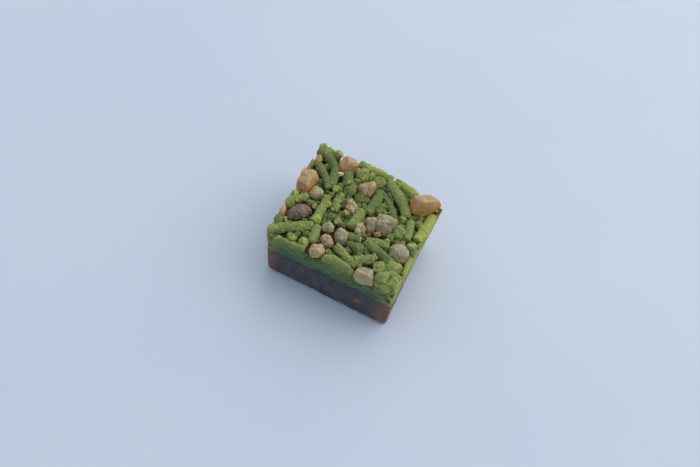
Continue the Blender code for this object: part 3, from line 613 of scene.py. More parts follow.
def lump(place, half_sizes, heading, spread, detail, draw_seed, flat_count=5, soften=0.03, tip=0.0,
         taper=0.0, rough=0.05, own_flats=(), wedge=0.0, knobs=0):
    """Points and faces of one lump, and its directions for whoever adds wrinkles."""
    rng = random.Random(SEED * 1000 + draw_seed)
    lobe_size = (1.0 - spread) * (BODY_UNDER_KNOBS if knobs else 1.0)
    lobes = [((spread, 0.0, 0.0), lobe_size)]
    fatten = 1.0
    if spread > 0.0:
        lobes += [((-spread, -LOBE_OFFSET, 0.0), lobe_size - LOBE_OFFSET),
                  ((0.0, 0.0, 0.0), lobe_size * BRIDGE_SHARE)]
        fatten = 1.0 / lobe_size
    for _ in range(knobs):
        knob = Vector((rng.gauss(0, 1), rng.gauss(0, 1), rng.gauss(0, 1))).normalized() * KNOB_OUT
        lobes.append((tuple(knob), rng.uniform(*KNOB_SIZES)))
    flats = []
    for _ in range(flat_count):
        normal = Vector((rng.gauss(0, 1), rng.gauss(0, 1), rng.gauss(0, 0.6))).normalized()
        flats.append((tuple(normal), rng.uniform(*FLAT_DISTANCES)))
    flats += [(tuple(Vector(normal).normalized()), distance) for normal, distance in own_flats]
    directions, faces = BALLS[detail]
    reach = lobed_radius(directions, lobes, flats, soften)
    reach *= 1.0 + rough * smooth(directions, 0.7 if rough > 0.05 else 0.45, draw_seed)
    stretch = np.array((half_sizes[0], half_sizes[1] * fatten, half_sizes[2] * fatten))
    local = directions * stretch * reach[:, None]
    local[:, 1:] *= (1.0 - taper * local[:, 0] / half_sizes[0])[:, None]
    local[:, 0] *= 1.0 + wedge * local[:, 1] / half_sizes[1]
    turn = np.array(Matrix.Rotation(math.radians(heading), 3, "Z") @ Matrix.Rotation(tip, 3, "Y"))
    return local @ turn.T + np.array(place), faces, directions @ turn.T


def wrinkle(points, directions, sizes, depths, seed):
    """Move points in and out by noise of several sizes."""
    total = sum(depth * smooth(points, size, seed + number)
                for number, (size, depth) in enumerate(zip(sizes, depths)))
    return points + directions * total[:, None]


print("a lump starts as a ball of", [len(faces) for _, faces in BALLS.values()], "faces, by its detail")

# %% Crumbs and clefts in the flesh
LARGE_TOPPING = 4.0
CHESTNUT_WRINKLES = ((2.4, 1.1, 0.5), (0.30, 0.20, 0.08))
CRUMB_SIZES, CRUMB_DEPTHS = (1.3, 0.55), (0.18, 0.13)   # how the nut's flesh has broken
USUAL_CRUMB_SHARE = 0.7
CRUMB_SHARES = {"chestnut_left": 0.15, "chestnut_back": 0.3, "chestnut_corner": 0.4,
                "chestnut_left_small": 0.4, "chestnut_rough": 0.8, "chestnut_speckled": 1.1}


def crumble(points, directions, share, seed):
    """Break a smooth lump's surface into crumbs with sunk joints, at two sizes."""
    offset = np.zeros(len(points))
    for number, (size, depth) in enumerate(zip(CRUMB_SIZES, CRUMB_DEPTHS)):
        joint, own = crumbly(points, size, seed + number * 7)
        offset += depth * share * (own - 0.4 - 0.6 * (1.0 - joint))
    return points + directions * offset[:, None]


def clefts(points, directions, size, depth, seed):
    """Narrow clefts where the nut's flesh has parted, along the middle of a noise."""
    line = np.exp(-(smooth(points, size, seed) / 0.07) ** 2)
    where = np.clip(smooth(points, size * 1.7, seed + 3) * 3, 0.0, 1.0)
    return points - directions * (depth * line * where)[:, None]


print("pieces that crumble more or less than the others:", len(CRUMB_SHARES))

# %% What is special about single pieces
TAPERS = {   # how much thinner the far end is
    "chestnut_left": 0.28, "chestnut_corner": 0.20, "chestnut_back": 0.22, "chestnut_centre_large": -0.12,
    "chestnut_right": 0.12}
WEDGES = {"chestnut_heart": 0.40, "chestnut_back": -0.15}   # how much longer the left side is
BROKEN_FLATS = {   # direction in the piece's own frame, distance from its middle
    "chestnut_corner": (((0.1, 0.2, 1.0), 0.70), ((0.05, -1.0, 0.3), 0.68), ((-1.0, 0.0, 0.15), 0.72),
                        ((0.7, -0.7, 0.1), 0.62), ((0.75, 0.55, 0.35), 0.64), ((-0.3, 0.9, 0.4), 0.70)),
    "chestnut_front": (((0.0, 0.3, 1.0), 0.72), ((-1.0, 0.2, 0.3), 0.76), ((1.0, 0.1, 0.2), 0.76)),
    "chestnut_left": (((0.1, -0.7, 0.8), 0.84), ((-1.0, 0.1, 0.4), 0.84), ((0.9, -0.3, 0.2), 0.86)),
    "chestnut_back": (((0.2, -0.8, 0.7), 0.78), ((-0.7, -0.2, 0.7), 0.80), ((0.8, 0.5, 0.4), 0.82),
                      ((-0.6, -0.8, 0.0), 0.84), ((0.9, -0.4, 0.1), 0.84)),
    "chestnut_heart": (((0.0, 0.0, 1.0), 0.80), ((0.0, 1.0, 0.1), 0.86)),
    "chestnut_centre_large": (((0.0, 0.1, 1.0), 0.78), ((0.9, 0.0, 0.3), 0.82), ((-0.2, -1.0, 0.1), 0.80),
                              ((-1.0, 0.1, 0.1), 0.82), ((0.2, 1.0, 0.1), 0.82)),
    "chestnut_right": (((0.1, 0.0, 1.0), 0.80), ((-0.3, 1.0, 0.2), 0.82), ((-1.0, -0.2, 0.0), 0.84)),
}
TOPPING_SWELL, ONE_BLOCK_SWELL = 1.12, 1.28   # fuller than the solids, because flats take some off
ONE_BLOCK = ("chestnut_corner", "chestnut_front")   # split along clean flats rather than into lobes
TOPPING_FLATS, TOPPING_SOFTNESS, TOPPING_ROUGHNESS = 6, 0.016, 0.13
CLEFT_SIZE, CLEFT_DEPTH = 3.4, 0.10
USUAL_KNOBS = 5
KNOBS = {"chestnut_front": 2, "chestnut_left": 1, "chestnut_corner": 0, "chestnut_back": 3,
         "chestnut_left_edge": 0, "chestnut_back_left": 0}
AMBER = ("chestnut_back", "chestnut_left", "chestnut_corner", "chestnut_left_edge", "chestnut_back_left",
         "chestnut_centre_small")
SUGARED = ("chestnut_rough", "chestnut_speckled", "chestnut_heart", "chestnut_front_left")
print("amber:", len(AMBER), "sugared:", len(SUGARED), "with flats of their own:", len(BROKEN_FLATS))


# %% Make the chestnut pieces
def topping_shell(name, number):
    """One chestnut piece at its place, cut flush where it reaches a side."""
    x, y, heading, length, width, height, proud, spread = TOPPINGS[name]
    place = (x, y, float(top_height(x, y)) + proud - height)
    detail = 6 if length >= LARGE_TOPPING else 5
    swell, spread = (ONE_BLOCK_SWELL, 0.0) if name in ONE_BLOCK else (TOPPING_SWELL, spread)
    half_sizes = tuple(size * swell for size in (length, width, height))
    points, faces, directions = lump(
        place, half_sizes, heading, spread, detail, number, TOPPING_FLATS, TOPPING_SOFTNESS,
        taper=TAPERS.get(name, 0.0), rough=TOPPING_ROUGHNESS, own_flats=BROKEN_FLATS.get(name, ()),
        wedge=WEDGES.get(name, 0.0), knobs=KNOBS.get(name, USUAL_KNOBS))
    points = wrinkle(points, directions, *CHESTNUT_WRINKLES, number)
    points = clefts(points, directions, CLEFT_SIZE, CLEFT_DEPTH, number)
    points = crumble(points, directions, CRUMB_SHARES.get(name, USUAL_CRUMB_SHARE), number)
    points = cut_to_block(points, 0.0, cut_streaks)
    return points, faces, [0] * len(faces)


def cut_streaks(points, side):
    """Fine upright and level drag marks that the knife leaves on firm pieces."""
    return 0.07 * smooth(points, (0.5, 0.5, 1.6), 40 + side) + 0.03 * smooth(points, 0.25, 50 + side)


for number, name in enumerate(TOPPINGS):
    if name != "azuki_bean":
        other = sugared_chestnut if name in SUGARED else dusty_chestnut
        flesh = amber_chestnut if name in AMBER else other
        piece(name + "_flesh", [topping_shell(name, number)], (flesh,), (name,))

points, faces, directions = lump(BASE_BIT, BASE_BIT_SIZE, 0.0, 0.0, 5, 0, 5)
points = cut_to_block(wrinkle(points, directions, *CHESTNUT_WRINKLES, 60), 0.04, cut_streaks)
piece("chestnut_bit_flesh", [(points, faces, [0] * len(faces))], (soaked_chestnut,),
      ("chestnut_bit_in_base",))

# %% [markdown]
# ## The red bean
#
# A boiled bean dries from the outside, so its skin shrinks into folds that run mostly along it.
# Ridged noise, stretched along the bean, gives folds with sharp valleys and round backs. At its
# lower left end the skin has torn, and a dark scrap of it stands out. A pale scrap of chestnut
# lies at the back of the heap.
# %% Make the wrinkled bean
BEAN_FOLDS = ((3.4, 1.5, 1.9), 0.16)
BEAN_NUMBER = list(TOPPINGS).index("azuki_bean")


def bean_shell():
    """The bean: an oval with folds along it and small dimples."""
    x, y, heading, length, width, height, proud, _ = TOPPINGS["azuki_bean"]
    place = (x, y, float(top_height(x, y)) + proud - height)
    points, faces, directions = lump(place, (length, width, height), heading, 0.0, 6, BEAN_NUMBER, 0)
    turn = np.array(Matrix.Rotation(math.radians(-heading), 3, "Z"))
    local = (points - np.array(place)) @ turn.T
    size, depth = BEAN_FOLDS
    valleys = np.exp(-(smooth(local, size, 7) / 0.13) ** 2)
    crossing = np.exp(-(smooth(local, 1.1, 9) / 0.12) ** 2) * 0.5
    points = points - directions * (depth * (valleys + crossing))[:, None]
    points = wrinkle(points, directions, (2.0, 0.9, 0.4), (0.26, 0.12, 0.05), 21)
    return points, faces, [0] * len(faces)


def scrap_shell(place, half_sizes, seed):
    """A small torn scrap, tipped up a little."""
    points, faces, directions = lump(place, half_sizes, seed * 40, 0.0, 4, seed, 5, 0.02, 0.4)
    return wrinkle(points, directions, (0.8, 0.3), (0.16, 0.05), seed), faces, [0] * len(faces)


piece("azuki_bean_skin", [bean_shell()], (azuki_skin,), ("azuki_bean",))
SCRAPS = {   # x, y, half sizes, seed, finish, slot
    "bean_skin_scrap": (-19.0, -11.2, (1.6, 1.1, 1.0), 3, dark_scrap, "azuki_skin"),
    "pale_chestnut_scrap": (-12.6, 13.2, (1.1, 0.7, 0.8), 5, pale_scrap, "candied_chestnut"),
}
SCRAP_SINK = 0.5
for name, (x, y, half_sizes, seed, finish, slot_name) in SCRAPS.items():
    place = (x, y, float(top_height(x, y)) - SCRAP_SINK)
    piece(name, [scrap_shell(place, half_sizes, seed)], (finish,))


# %% [markdown]
# ## The red-bean layer
#
# The paste was pressed in a tray and cut, so its sides are planes with the blade's drag on them,
# small pits where air was, and worn edges. A grid block keeps the points evenly spread, and the
# relief is a sum of noises with named depths.
# %% A closed block of small squares between two surfaces
GRID_OVERHANG = 1.5   # grown past the four planes, so that the knife has something to press back


def grid_shell(across, up, bottom, top):
    """A closed block over the plan, with a bottom and a top height per plan point."""
    width, depth = TOP_CORNERS[1][0] - TOP_CORNERS[0][0], TOP_CORNERS[3][1] - TOP_CORNERS[0][1]
    cuts = (round(width / across), round(depth / across), up)
    index, points, faces = {}, [], []

    def number_of(i, j, k):
        if (i, j, k) not in index:
            index[(i, j, k)] = len(points)
            points.append((i / cuts[0], j / cuts[1], k / cuts[2]))
        return index[(i, j, k)]

    for axis in range(3):
        first, second = [other for other in range(3) if other != axis]
        for end in (0, cuts[axis]):
            for i in range(cuts[first]):
                for j in range(cuts[second]):
                    corners = []
                    for step_i, step_j in ((0, 0), (1, 0), (1, 1), (0, 1)):
                        at = [0, 0, 0]
                        at[axis], at[first], at[second] = end, i + step_i, j + step_j
                        corners.append(number_of(*at))
                    faces.append(tuple(corners if (end > 0) != (axis == 1) else corners[::-1]))
    unit = np.array(points)
    corners = corners_at(np.full(len(unit), SEAM_HEIGHT))
    u, v, share = unit[:, 0:1], unit[:, 1:2], unit[:, 2]
    plan = (corners[0] * (1 - u) + corners[1] * u) * (1 - v) + (corners[3] * (1 - u) + corners[2] * u) * v
    plan += (unit[:, :2] - 0.5) * 2 * GRID_OVERHANG
    low, high = bottom(plan[:, 0], plan[:, 1]), top(plan[:, 0], plan[:, 1])
    heights = low + (high - low) * share
    return np.column_stack((plan, heights)), faces


print("the block's grid reaches", GRID_OVERHANG, "mm past the planes")

# %% Make the red-bean layer
BASE_GRID, BASE_ROWS, BASE_CORNER = 0.38, 38, 2.0
BASE_LUMP_DEPTH, BASE_PIT_DEPTH, BASE_FOOT_RADIUS = 0.26, 0.5, 1.3
SEAM_OVERLAP = 0.12


def base_relief(points, side):
    """Depth of the cut face below its plane: lumps, drag marks along the cut, and pits."""
    lumps = BASE_LUMP_DEPTH * (0.6 + smooth(points, 3.5, 2 + side)) + 0.10 * smooth(points, 1.1, 5 + side)
    drag = 0.05 * smooth(points, (2.4, 2.4, 0.4), 8 + side)
    pit = np.clip(smooth(points, (1.5, 1.5, 1.0), 12 + side) - 0.42, 0.0, 1.0) * 2.2 * BASE_PIT_DEPTH
    return lumps + drag + pit


def base_shell():
    """The lower layer, with a rounded foot."""
    points, faces = grid_shell(BASE_GRID, BASE_ROWS, lambda x, y: 0.0 * x,
                               lambda x, y: seam_height(x, y) + SEAM_OVERLAP)
    up = np.clip(1.0 - points[:, 2] / BASE_FOOT_RADIUS, 0.0, 1.0)
    inset = BASE_FOOT_RADIUS * (1.0 - np.sqrt(1.0 - up * up))
    radius = BASE_CORNER + (CORNER_RADIUS - BASE_CORNER) * np.clip(points[:, 2] / SEAM_HEIGHT, 0.0, 1.0)
    points = cut_to_block(points, inset, base_relief, 0.0, radius)
    return points, faces, [0] * len(faces)


piece("red_bean_layer", [base_shell()], (bean_paste,), ("base_layer",))

# %% [markdown]
# ## The green layer's own core
#
# Between the strands one sees down to more strands and finally to the core. The core is that
# last surface: rough, in the dark deep-shade green, which is painted shade, and well below the
# crests, with its sides just inside the cut faces.
# %% Make the core below the strands
CORE_DEPTH, CORE_SIDE_INSET = 4.4, 0.55
CORE_GRID, CORE_ROWS = 0.42, 18


def core_relief(points, side):
    """Rough depth of the core's sides behind the pressed strands."""
    return 0.25 * smooth(points, (2.0, 2.0, 0.9), 60 + side) + 0.12 * smooth(points, 0.6, 64 + side)


def core_top(x, y):
    """The rough floor that shows between the strands."""
    points = np.column_stack((x, y, 0 * x))
    rough = 0.7 * smooth(points, 2.4, 30) + 0.3 * smooth(points, 0.9, 31)
    return top_height(x, y) - shelf_drop(x, y) - CORE_DEPTH + rough


def core_shell():
    """The core, cut a little inside the block's sides."""
    points, faces = grid_shell(
        CORE_GRID, CORE_ROWS, lambda x, y: seam_height(x, y) - SEAM_OVERLAP, core_top)
    return cut_to_block(points, CORE_SIDE_INSET, core_relief), faces, [0] * len(faces)


matcha_core = core_shell()
piece("matcha_core", [matcha_core], (MATCHA[DEEP_SHADE],), ("matcha_layer",))

# %% [markdown]
# ## Strands
#
# Paste that leaves a sieve is a rod about three millimetres thick. Its skin is slightly mealy, it
# cracks across where it bends, and it breaks off with a rough end. A curve with a bevel would give
# a smooth tube, so here each strand is built ring by ring and every point is moved by noise, with
# cracks cut as narrow grooves and closed ends that are broken rather than round.
# %% Sizes of a strand's skin
END_PROFILE = ((0.0, 1.0), (0.10, 0.97), (0.20, 0.88), (0.27, 0.66), (0.30, 0.36))   # out, radius share
SKIN_SIZES, SKIN_DEPTHS = (2.6, 0.95, 0.36), (0.26, 0.15, 0.065)
MEAL_SIZE, MEAL_DEPTH = 0.5, 0.08          # crumbs of paste that stand out of the skin
FRINGE_SIZE, FRINGE_DEPTH = 0.95, 0.50     # larger flakes on ragged strands
RUBBED_ABOVE = 0.95                        # a higher number breaks less of the skin open
CRACK_SPACING, CRACK_WIDTH = 4.5, 0.2      # mm between cracks across a strand, and their half width
CRACK_PLACES, CRACK_SPANS, CRACK_DEPTHS = (0.1, 0.9), (0.7, 1.6), (0.14, 0.34)   # shares, radians, mm
END_SHARE = 0.9                            # rings narrower than this belong to a broken end


print("a strand's skin has relief of", SKIN_DEPTHS, "mm")


# %% Build one strand ring by ring
def even_steps(points, step):
    """The same path with evenly spaced points."""
    gaps = np.linalg.norm(np.diff(points, axis=0), axis=1)
    travelled = np.concatenate(((0.0,), np.cumsum(gaps)))
    wanted = np.linspace(0.0, travelled[-1], max(3, round(travelled[-1] / step) + 1))
    return np.column_stack([np.interp(wanted, travelled, points[:, axis]) for axis in range(3)])


def skin_relief(points, angles, lengths, cracks, ragged, seed):
    """How far each point of a strand stands out or in, and where its skin is rubbed open."""
    offset = (0.6 + 0.4 * ragged) * sum(
        depth * smooth(points, size, seed + number)
        for number, (size, depth) in enumerate(zip(SKIN_SIZES, SKIN_DEPTHS)))
    wander = 0.4 * smooth(points, 0.8, seed + 9)
    for place, facing, span, deep in cracks:
        off = np.abs((angles - facing + math.pi) % math.tau - math.pi)
        groove = np.exp(-((lengths + wander - place) / CRACK_WIDTH) ** 2)
        offset -= deep * groove * np.clip(1.5 - off / span, 0.0, 1.0)
    joint, own = crumbly(points, MEAL_SIZE, seed)
    offset += MEAL_DEPTH * (0.4 + 0.6 * ragged) * (own - 0.4 - 0.5 * (1.0 - joint))
    fringe, own_fringe = crumbly(points, FRINGE_SIZE, seed + 4)
    sideways = 1.0 - np.abs(np.sin(angles)) * 0.6
    offset += FRINGE_DEPTH * max(ragged - 0.9, 0.0) * sideways * (own_fringe - 0.5 - 0.6 * (1.0 - fringe))
    rubbed = own_fringe * 0.6 * min(ragged, 1.5) + 0.6 * smooth(points, 2.0, seed + 2) > RUBBED_ABOVE
    return offset, rubbed


def close_rings(points, rings, sides, rubbed, finish):
    """The strand with faces between its rings and over both ends, and each face's finish."""
    faces, finishes = [], []
    opened = DEEP_SHADE if finish == DEEP_SHADE else BROKEN
    for ring in range(len(rings) - 1):
        on_end = min(rings[ring][2], rings[ring + 1][2]) < END_SHARE
        low, high = ring * sides, (ring + 1) * sides
        for side in range(sides):
            following = (side + 1) % sides
            faces.append((low + side, high + side, high + following, low + following))
            finishes.append(opened if on_end or rubbed[low + side] else finish)
    for ring, reverse in ((0, False), (len(rings) - 1, True)):
        centre = len(points)
        points = np.vstack((points, points[ring * sides:(ring + 1) * sides].mean(axis=0)))
        for side in range(sides):
            rim = (ring * sides + side, ring * sides + (side + 1) % sides)
            faces.append((*(rim[::-1] if reverse else rim), centre))
            finishes.append(opened)
    return points, faces, finishes


print("cracks come every", CRACK_SPACING, "mm or so")


# %% Put a strand together
def strand_shell(path, radius, seed, sides, step, ragged, finish=SKIN):
    """One strand along a path: its points, its faces, and the finish of skin and broken ends."""
    rng = random.Random(seed)
    path = even_steps(path, step)
    along = np.gradient(path, axis=0)
    along /= np.linalg.norm(along, axis=1)[:, None]
    across = np.cross(along, (0.0, 0.0, 1.0))
    across /= np.linalg.norm(across, axis=1)[:, None]
    upward = np.cross(across, along)
    rings = [(0, -out * radius, share) for out, share in END_PROFILE[:0:-1]]
    rings += [(index, 0.0, 1.0) for index in range(len(path))]
    rings += [(len(path) - 1, out * radius, share) for out, share in END_PROFILE[1:]]
    turn = np.linspace(0.0, math.tau, sides, endpoint=False)
    points, outward = [], []
    for index, out, share in rings:
        radial = np.cos(turn)[:, None] * across[index] + np.sin(turn)[:, None] * upward[index]
        points.append(path[index] + along[index] * out + radial * radius * share)
        outward.append(radial * share + along[index] * np.sign(out) * (1 - share))
    points, outward = np.concatenate(points), np.concatenate(outward)
    steps, outs, shares = (np.repeat(column, sides) for column in zip(*rings))
    travelled = np.arange(len(path)) * step
    cracks = [(rng.uniform(*CRACK_PLACES) * travelled[-1], rng.uniform(0, math.tau),
               rng.uniform(*CRACK_SPANS), rng.uniform(*CRACK_DEPTHS))
              for _ in range(round(travelled[-1] / CRACK_SPACING * ragged))]
    angles = np.tile(turn, len(rings))
    offset, rubbed = skin_relief(points, angles, travelled[steps], cracks, ragged, seed)
    points = points + outward * offset[:, None]
    broken = 0.30 * ragged * smooth(points, 0.7, seed + 5) + 0.22 * smooth(points, 1.6, seed + 6)
    points = points + along[steps] * (broken * np.sign(outs) * (shares < 1.0) * radius / 1.6)[:, None]
    return close_rings(points, rings, sides, rubbed, finish)


trial = strand_shell(np.array(((0.0, 0.0, 0.0), (10.0, 0.0, 0.0))), 1.5, 1, 26, 0.26, 1.0)
print("a strand of 10 mm has", len(trial[1]), "faces")

# %% [markdown]
# ## Laying the strands
#
# The larger strands are laid as the photograph shows them, from a table of places. Where a
# topping is in the way the strand moves a little, or else breaks off short, as it does in the
# real heap. Below them lies a second layer at random, which shows only in the gaps.
# %% Places of the strands
STRANDS = {   # x, y, heading, length, width, bend, lift, raggedness
    "long_rod": (-17.6, -14.2, 35, 15.4, 3.8, 0.3, 0.2, 1.6),
    "bent_back_left": (-17.6, 13.6, -44, 15.8, 3.0, 3.1, 0.3, 0.5),
    "inner_back_left": (-17.5, 10.2, -43, 9.6, 2.8, 0.3, 0.0, 0.7),
    "left_middle": (-13.5, -1.8, -87, 10.0, 2.9, 0.2, -0.2, 1.0),
    "rough_middle": (-8.3, 2.7, -81, 7.4, 3.5, 0.0, 0.0, 2.2),
    "centre_back": (1.6, 9.6, -89, 9.8, 3.4, 0.2, 0.4, 0.6),
    "centre": (-0.5, -0.2, -93, 8.6, 3.2, 0.0, 0.3, 0.8),
    "back_right": (8.7, 15.2, -40, 14.4, 3.4, 0.8, 0.4, 0.6),
    "back_right_low": (7.2, 10.8, -42, 13.2, 2.6, 0.9, -0.8, 0.5),
    "back_right_behind": (10.8, 16.9, -44, 11.0, 2.8, 0.7, -0.4, 0.7),
    "back_edge_right": (9.0, 20.8, -15, 8.6, 3.7, 0.2, 0.7, 0.9),
    "back_edge_middle": (-0.2, 21.2, -1, 7.8, 3.3, 0.0, 0.6, 1.1),
    "back_edge_left": (-6.6, 21.2, -8, 5.4, 3.2, 0.0, 0.4, 1.0),
    "front_left_short": (-9.2, -12.2, -80, 6.4, 3.0, 0.0, -0.2, 0.9),
    "front_right_rod": (11.8, -8.3, -18, 10.6, 3.4, 0.0, 0.4, 0.8),
    "front_middle": (3.2, -14.8, -23, 9.4, 3.2, -0.3, 0.0, 1.4),
    "front_lumpy": (8.8, -13.4, 39, 6.4, 3.8, 0.4, 0.2, 1.7),
    "right_short": (17.0, 5.4, -78, 7.8, 3.0, 0.1, 0.0, 1.0),
    "right_edge": (21.0, 9.6, -94, 12.4, 4.0, 0.0, -0.1, 1.3),
    "right_edge_front": (21.4, -8.4, -86, 7.0, 3.4, 0.0, -0.2, 1.0),
    "lumpy_middle": (11.3, -3.8, 8, 7.4, 3.6, 0.3, 0.1, 2.0),
    "front_bent": (2.6, -18.4, -6, 10.0, 3.0, 1.1, -0.6, 1.0),
    "left_edge_back": (-22.6, 11.2, 82, 6.4, 3.2, 0.0, -0.3, 1.0),
    "left_edge_lump": (-21.9, -4.8, 72, 5.8, 3.3, 0.0, 0.0, 1.4),
    "left_edge_block": (-19.8, -2.0, 48, 5.2, 3.4, 0.0, 0.1, 1.6),
}
print("strands:", len(STRANDS), "with a mean width of",
      round(sum(spec[4] for spec in STRANDS.values()) / len(STRANDS), 2), "mm")

# %% Find a strand's way between the toppings
STRAND_SINK, END_REACH, FINE_STEP = 0.1, 0.5, 0.5
NUDGES = (0.0, 0.4, 0.8, 1.2, 1.6)


def longest_clear_run(points, margin):
    """The longest run of a piece's points that keeps clear of every topping."""
    best, start = (0, 0), None
    for index, free in enumerate([*is_clear(points, margin), False]):
        if free and start is None:
            start = index
        if not free and start is not None:
            if index - start > best[1] - best[0]:
                best = (start, index)
            start = None
    return points[best[0]:best[1]]


def settle(points, radius):
    """Move a piece a little, or else shorten it, until it keeps clear of every topping."""
    best = points[:0]
    for reach in NUDGES:
        for step in range(8):
            turn = step * math.tau / 8
            shift = np.array((math.cos(turn), math.sin(turn))) * reach
            run = longest_clear_run(points + shift, radius - PRESSED_IN)
            if len(run) > len(best):
                best = run
            if len(best) == len(points):
                return best
    return best


def strand_path(x, y, heading, length, width, bend, lift):
    """Points along a strand's axis, where it finds room between the toppings."""
    radius = width / 2
    turn = math.radians(heading)
    along = np.array((math.cos(turn), math.sin(turn)))
    left = np.array((-along[1], along[0]))
    half = length / 2 - radius * END_REACH
    share = np.linspace(-1.0, 1.0, round(length / FINE_STEP) + 1)[:, None]
    plan = settle(np.array((x, y)) + along * share * half + left * bend * (0.5 - share ** 2), radius)
    if len(plan) < 3:
        return None
    plan[0] += (plan[0] - plan[1]) / np.linalg.norm(plan[0] - plan[1]) * radius * END_REACH * 0.6
    plan[-1] += (plan[-1] - plan[-2]) / np.linalg.norm(plan[-1] - plan[-2]) * radius * END_REACH * 0.6
    height = top_height(*plan.T) - STRAND_SINK - radius + lift
    return np.column_stack((plan, height))


print("the long rod keeps", len(strand_path(*STRANDS["long_rod"][:-1])), "steps of its length")


# %% Lay the upper strands
def torn_depth(points, side):
    """Depth of the level hollows where the blade tore paste out of a cut face."""
    return np.clip(smooth(points, (2.6, 2.6, 0.6), 78 + side) - 0.26, 0.0, 1.0) * 2.2


def knife_marks(points, side):
    """Relief of a cut green face: level fibres dragged by the blade, and torn hollows."""
    fibres = 0.14 * smooth(points, (2.2, 2.2, 0.42), 70 + side)
    fibres += 0.06 * smooth(points, (0.8, 0.8, 0.3), 74 + side)
    return fibres + torn_depth(points, side)


# Painted shade: these strands take the shaded green. The back-edge strands take the lighter broken green as
# a painted highlight where the window catches the back rim, and the right-edge strands take it too.
SHADED_STRANDS = ("bent_back_left", "inner_back_left", "centre_back", "back_right_low", "back_right_behind",
                  "front_right_rod")
LIGHTER_STRANDS = ("right_edge", "right_edge_front", "back_edge_left", "back_edge_middle", "back_edge_right")
upper_strands = []
for number, (name, (*spec, ragged)) in enumerate(STRANDS.items()):
    path = strand_path(*spec)
    if path is None:
        continue
    finish = SHADED if name in SHADED_STRANDS else (BROKEN if name in LIGHTER_STRANDS else SKIN)
    points, faces, finishes = strand_shell(path, spec[4] / 2, 100 + number, 40, 0.2, ragged, finish)
    upper_strands.append((cut_to_block(points, 0.0, knife_marks), faces, finishes))
piece("matcha_strands", upper_strands, MATCHA)

# %% Lay the deeper strands that show between them
LOWER_SPACING, LOWER_DEPTH, LOWER_WANDER = 4.3, 2.3, 1.2
LOWER_COLUMNS, LOWER_ROWS, LOWER_CORNER = 10, 9, (-19.5, -16.5)
LOWER_WIDTHS, LOWER_LENGTHS, LOWER_INSET = (2.6, 3.2), (4.0, 8.0), 0.35
rng = random.Random(SEED)
lower_strands = []
for column in range(LOWER_COLUMNS):
    for row in range(LOWER_ROWS):
        x = LOWER_CORNER[0] + column * LOWER_SPACING + rng.uniform(-LOWER_WANDER, LOWER_WANDER)
        y = LOWER_CORNER[1] + row * LOWER_SPACING + rng.uniform(-LOWER_WANDER, LOWER_WANDER)
        width, length = rng.uniform(*LOWER_WIDTHS), rng.uniform(*LOWER_LENGTHS)
        heading, bend = rng.uniform(0, 180), rng.uniform(-0.5, 0.5)
        lift = -LOWER_DEPTH - rng.uniform(0, 0.8)
        path = strand_path(x, y, heading, length, width, bend, lift)
        if path is None:
            continue
        path[:, 2] -= shelf_drop(path[:, 0], path[:, 1])
        seed = 300 + column * 10 + row
        # Painted shade: the deeper strands take the deep-shade green.
        points, faces, finishes = strand_shell(path, width / 2, seed, 18, 0.36, 1.0, DEEP_SHADE)
        lower_strands.append((cut_to_block(points, LOWER_INSET, core_relief), faces, finishes))
piece("matcha_lower_strands", lower_strands, MATCHA)

# %% [markdown]
# ## Broken bits
#
# Between the strands lie short broken lengths and lumps, some standing on end. The larger ones
# have places from the photograph, and small ones fill what room is left.
# %% Places of the bits
BITS = (   # x, y, width, lift
    (14.0, 2.6, 4.4, 0.0), (20.6, -1.4, 4.0, 0.0), (14.6, -13.2, 4.6, 0.1), (11.6, -11.4, 2.2, 0.2),
    (5.7, -10.1, 4.4, 0.2), (1.8, -6.5, 3.7, 0.0), (1.6, -10.0, 2.6, -0.4), (-15.2, -16.9, 3.2, -0.3),
    (-10.9, -16.6, 3.6, -0.2), (-11.4, -6.9, 3.8, 0.0), (-7.0, 9.2, 4.4, 0.1), (-10.6, 7.6, 3.3, -0.2),
    (-10.4, 0.4, 2.7, -0.1), (-9.8, 14.4, 4.8, 0.0), (-7.0, 18.0, 5.4, 0.2), (-0.3, 17.2, 4.4, 0.0),
    (-3.2, 19.0, 3.2, -0.2), (4.6, 7.0, 3.0, -0.3), (-2.6, 9.0, 3.4, -0.9), (-7.4, -3.4, 3.1, -0.2),
    (-4.6, -0.2, 3.0, -0.4), (-4.3, -4.0, 2.8, -0.4), (-22.6, -1.4, 2.8, -0.2), (-17.0, -2.6, 2.4, -0.3),
    (-21.8, -13.4, 3.6, -0.2), (-19.3, -11.4, 3.0, -0.4), (-20.4, 19.6, 4.2, 0.4), (-17.2, 19.8, 3.8, 0.3),
    (-22.6, 19.8, 4.2, 0.5), (18.2, -11.2, 5.6, -0.1), (21.0, -14.4, 5.4, 0.0), (17.2, -16.4, 5.2, -0.3),
    (20.4, -18.0, 5.4, -0.1), (22.2, 17.0, 4.4, -0.2), (21.8, 19.4, 3.4, -0.6), (-17.6, -19.2, 3.6, -1.0),
    (-21.4, -19.0, 3.8, -1.6), (-12.8, -19.4, 3.2, -1.2), (-6.9, 20.2, 3.2, -0.1), (-4.4, 16.2, 2.6, -0.6),
    (-8.2, 20.4, 2.6, 0.3), (23.2, 18.2, 2.6, 0.0),
)
print("larger bits:", len(BITS))

# %% Find room for the bits
BIT_SHARES = (1.0, 0.85, 0.7, 0.55)   # how far a bit may shrink until it has room
FILL_BITS, FILL_WIDTHS, FILL_DEPTH = 52, (2.2, 3.2), 1.3
FILL_X, FILL_Y, MOST_TRIES = (-22.0, 22.0), (-18.5, 19.0), 6000
NEAREST = 0.24   # how near small bits come to others, as a share of their width


def bit_places():
    """The larger bits, each moved to where it has room: x, y, width, lift."""
    places = []
    for x, y, width, lift in BITS:
        for share in BIT_SHARES:
            settled = settle(np.array([(x, y)]), width * share / 2)
            if len(settled):
                places.append((*settled[0], width * share, lift))
                break
    return places


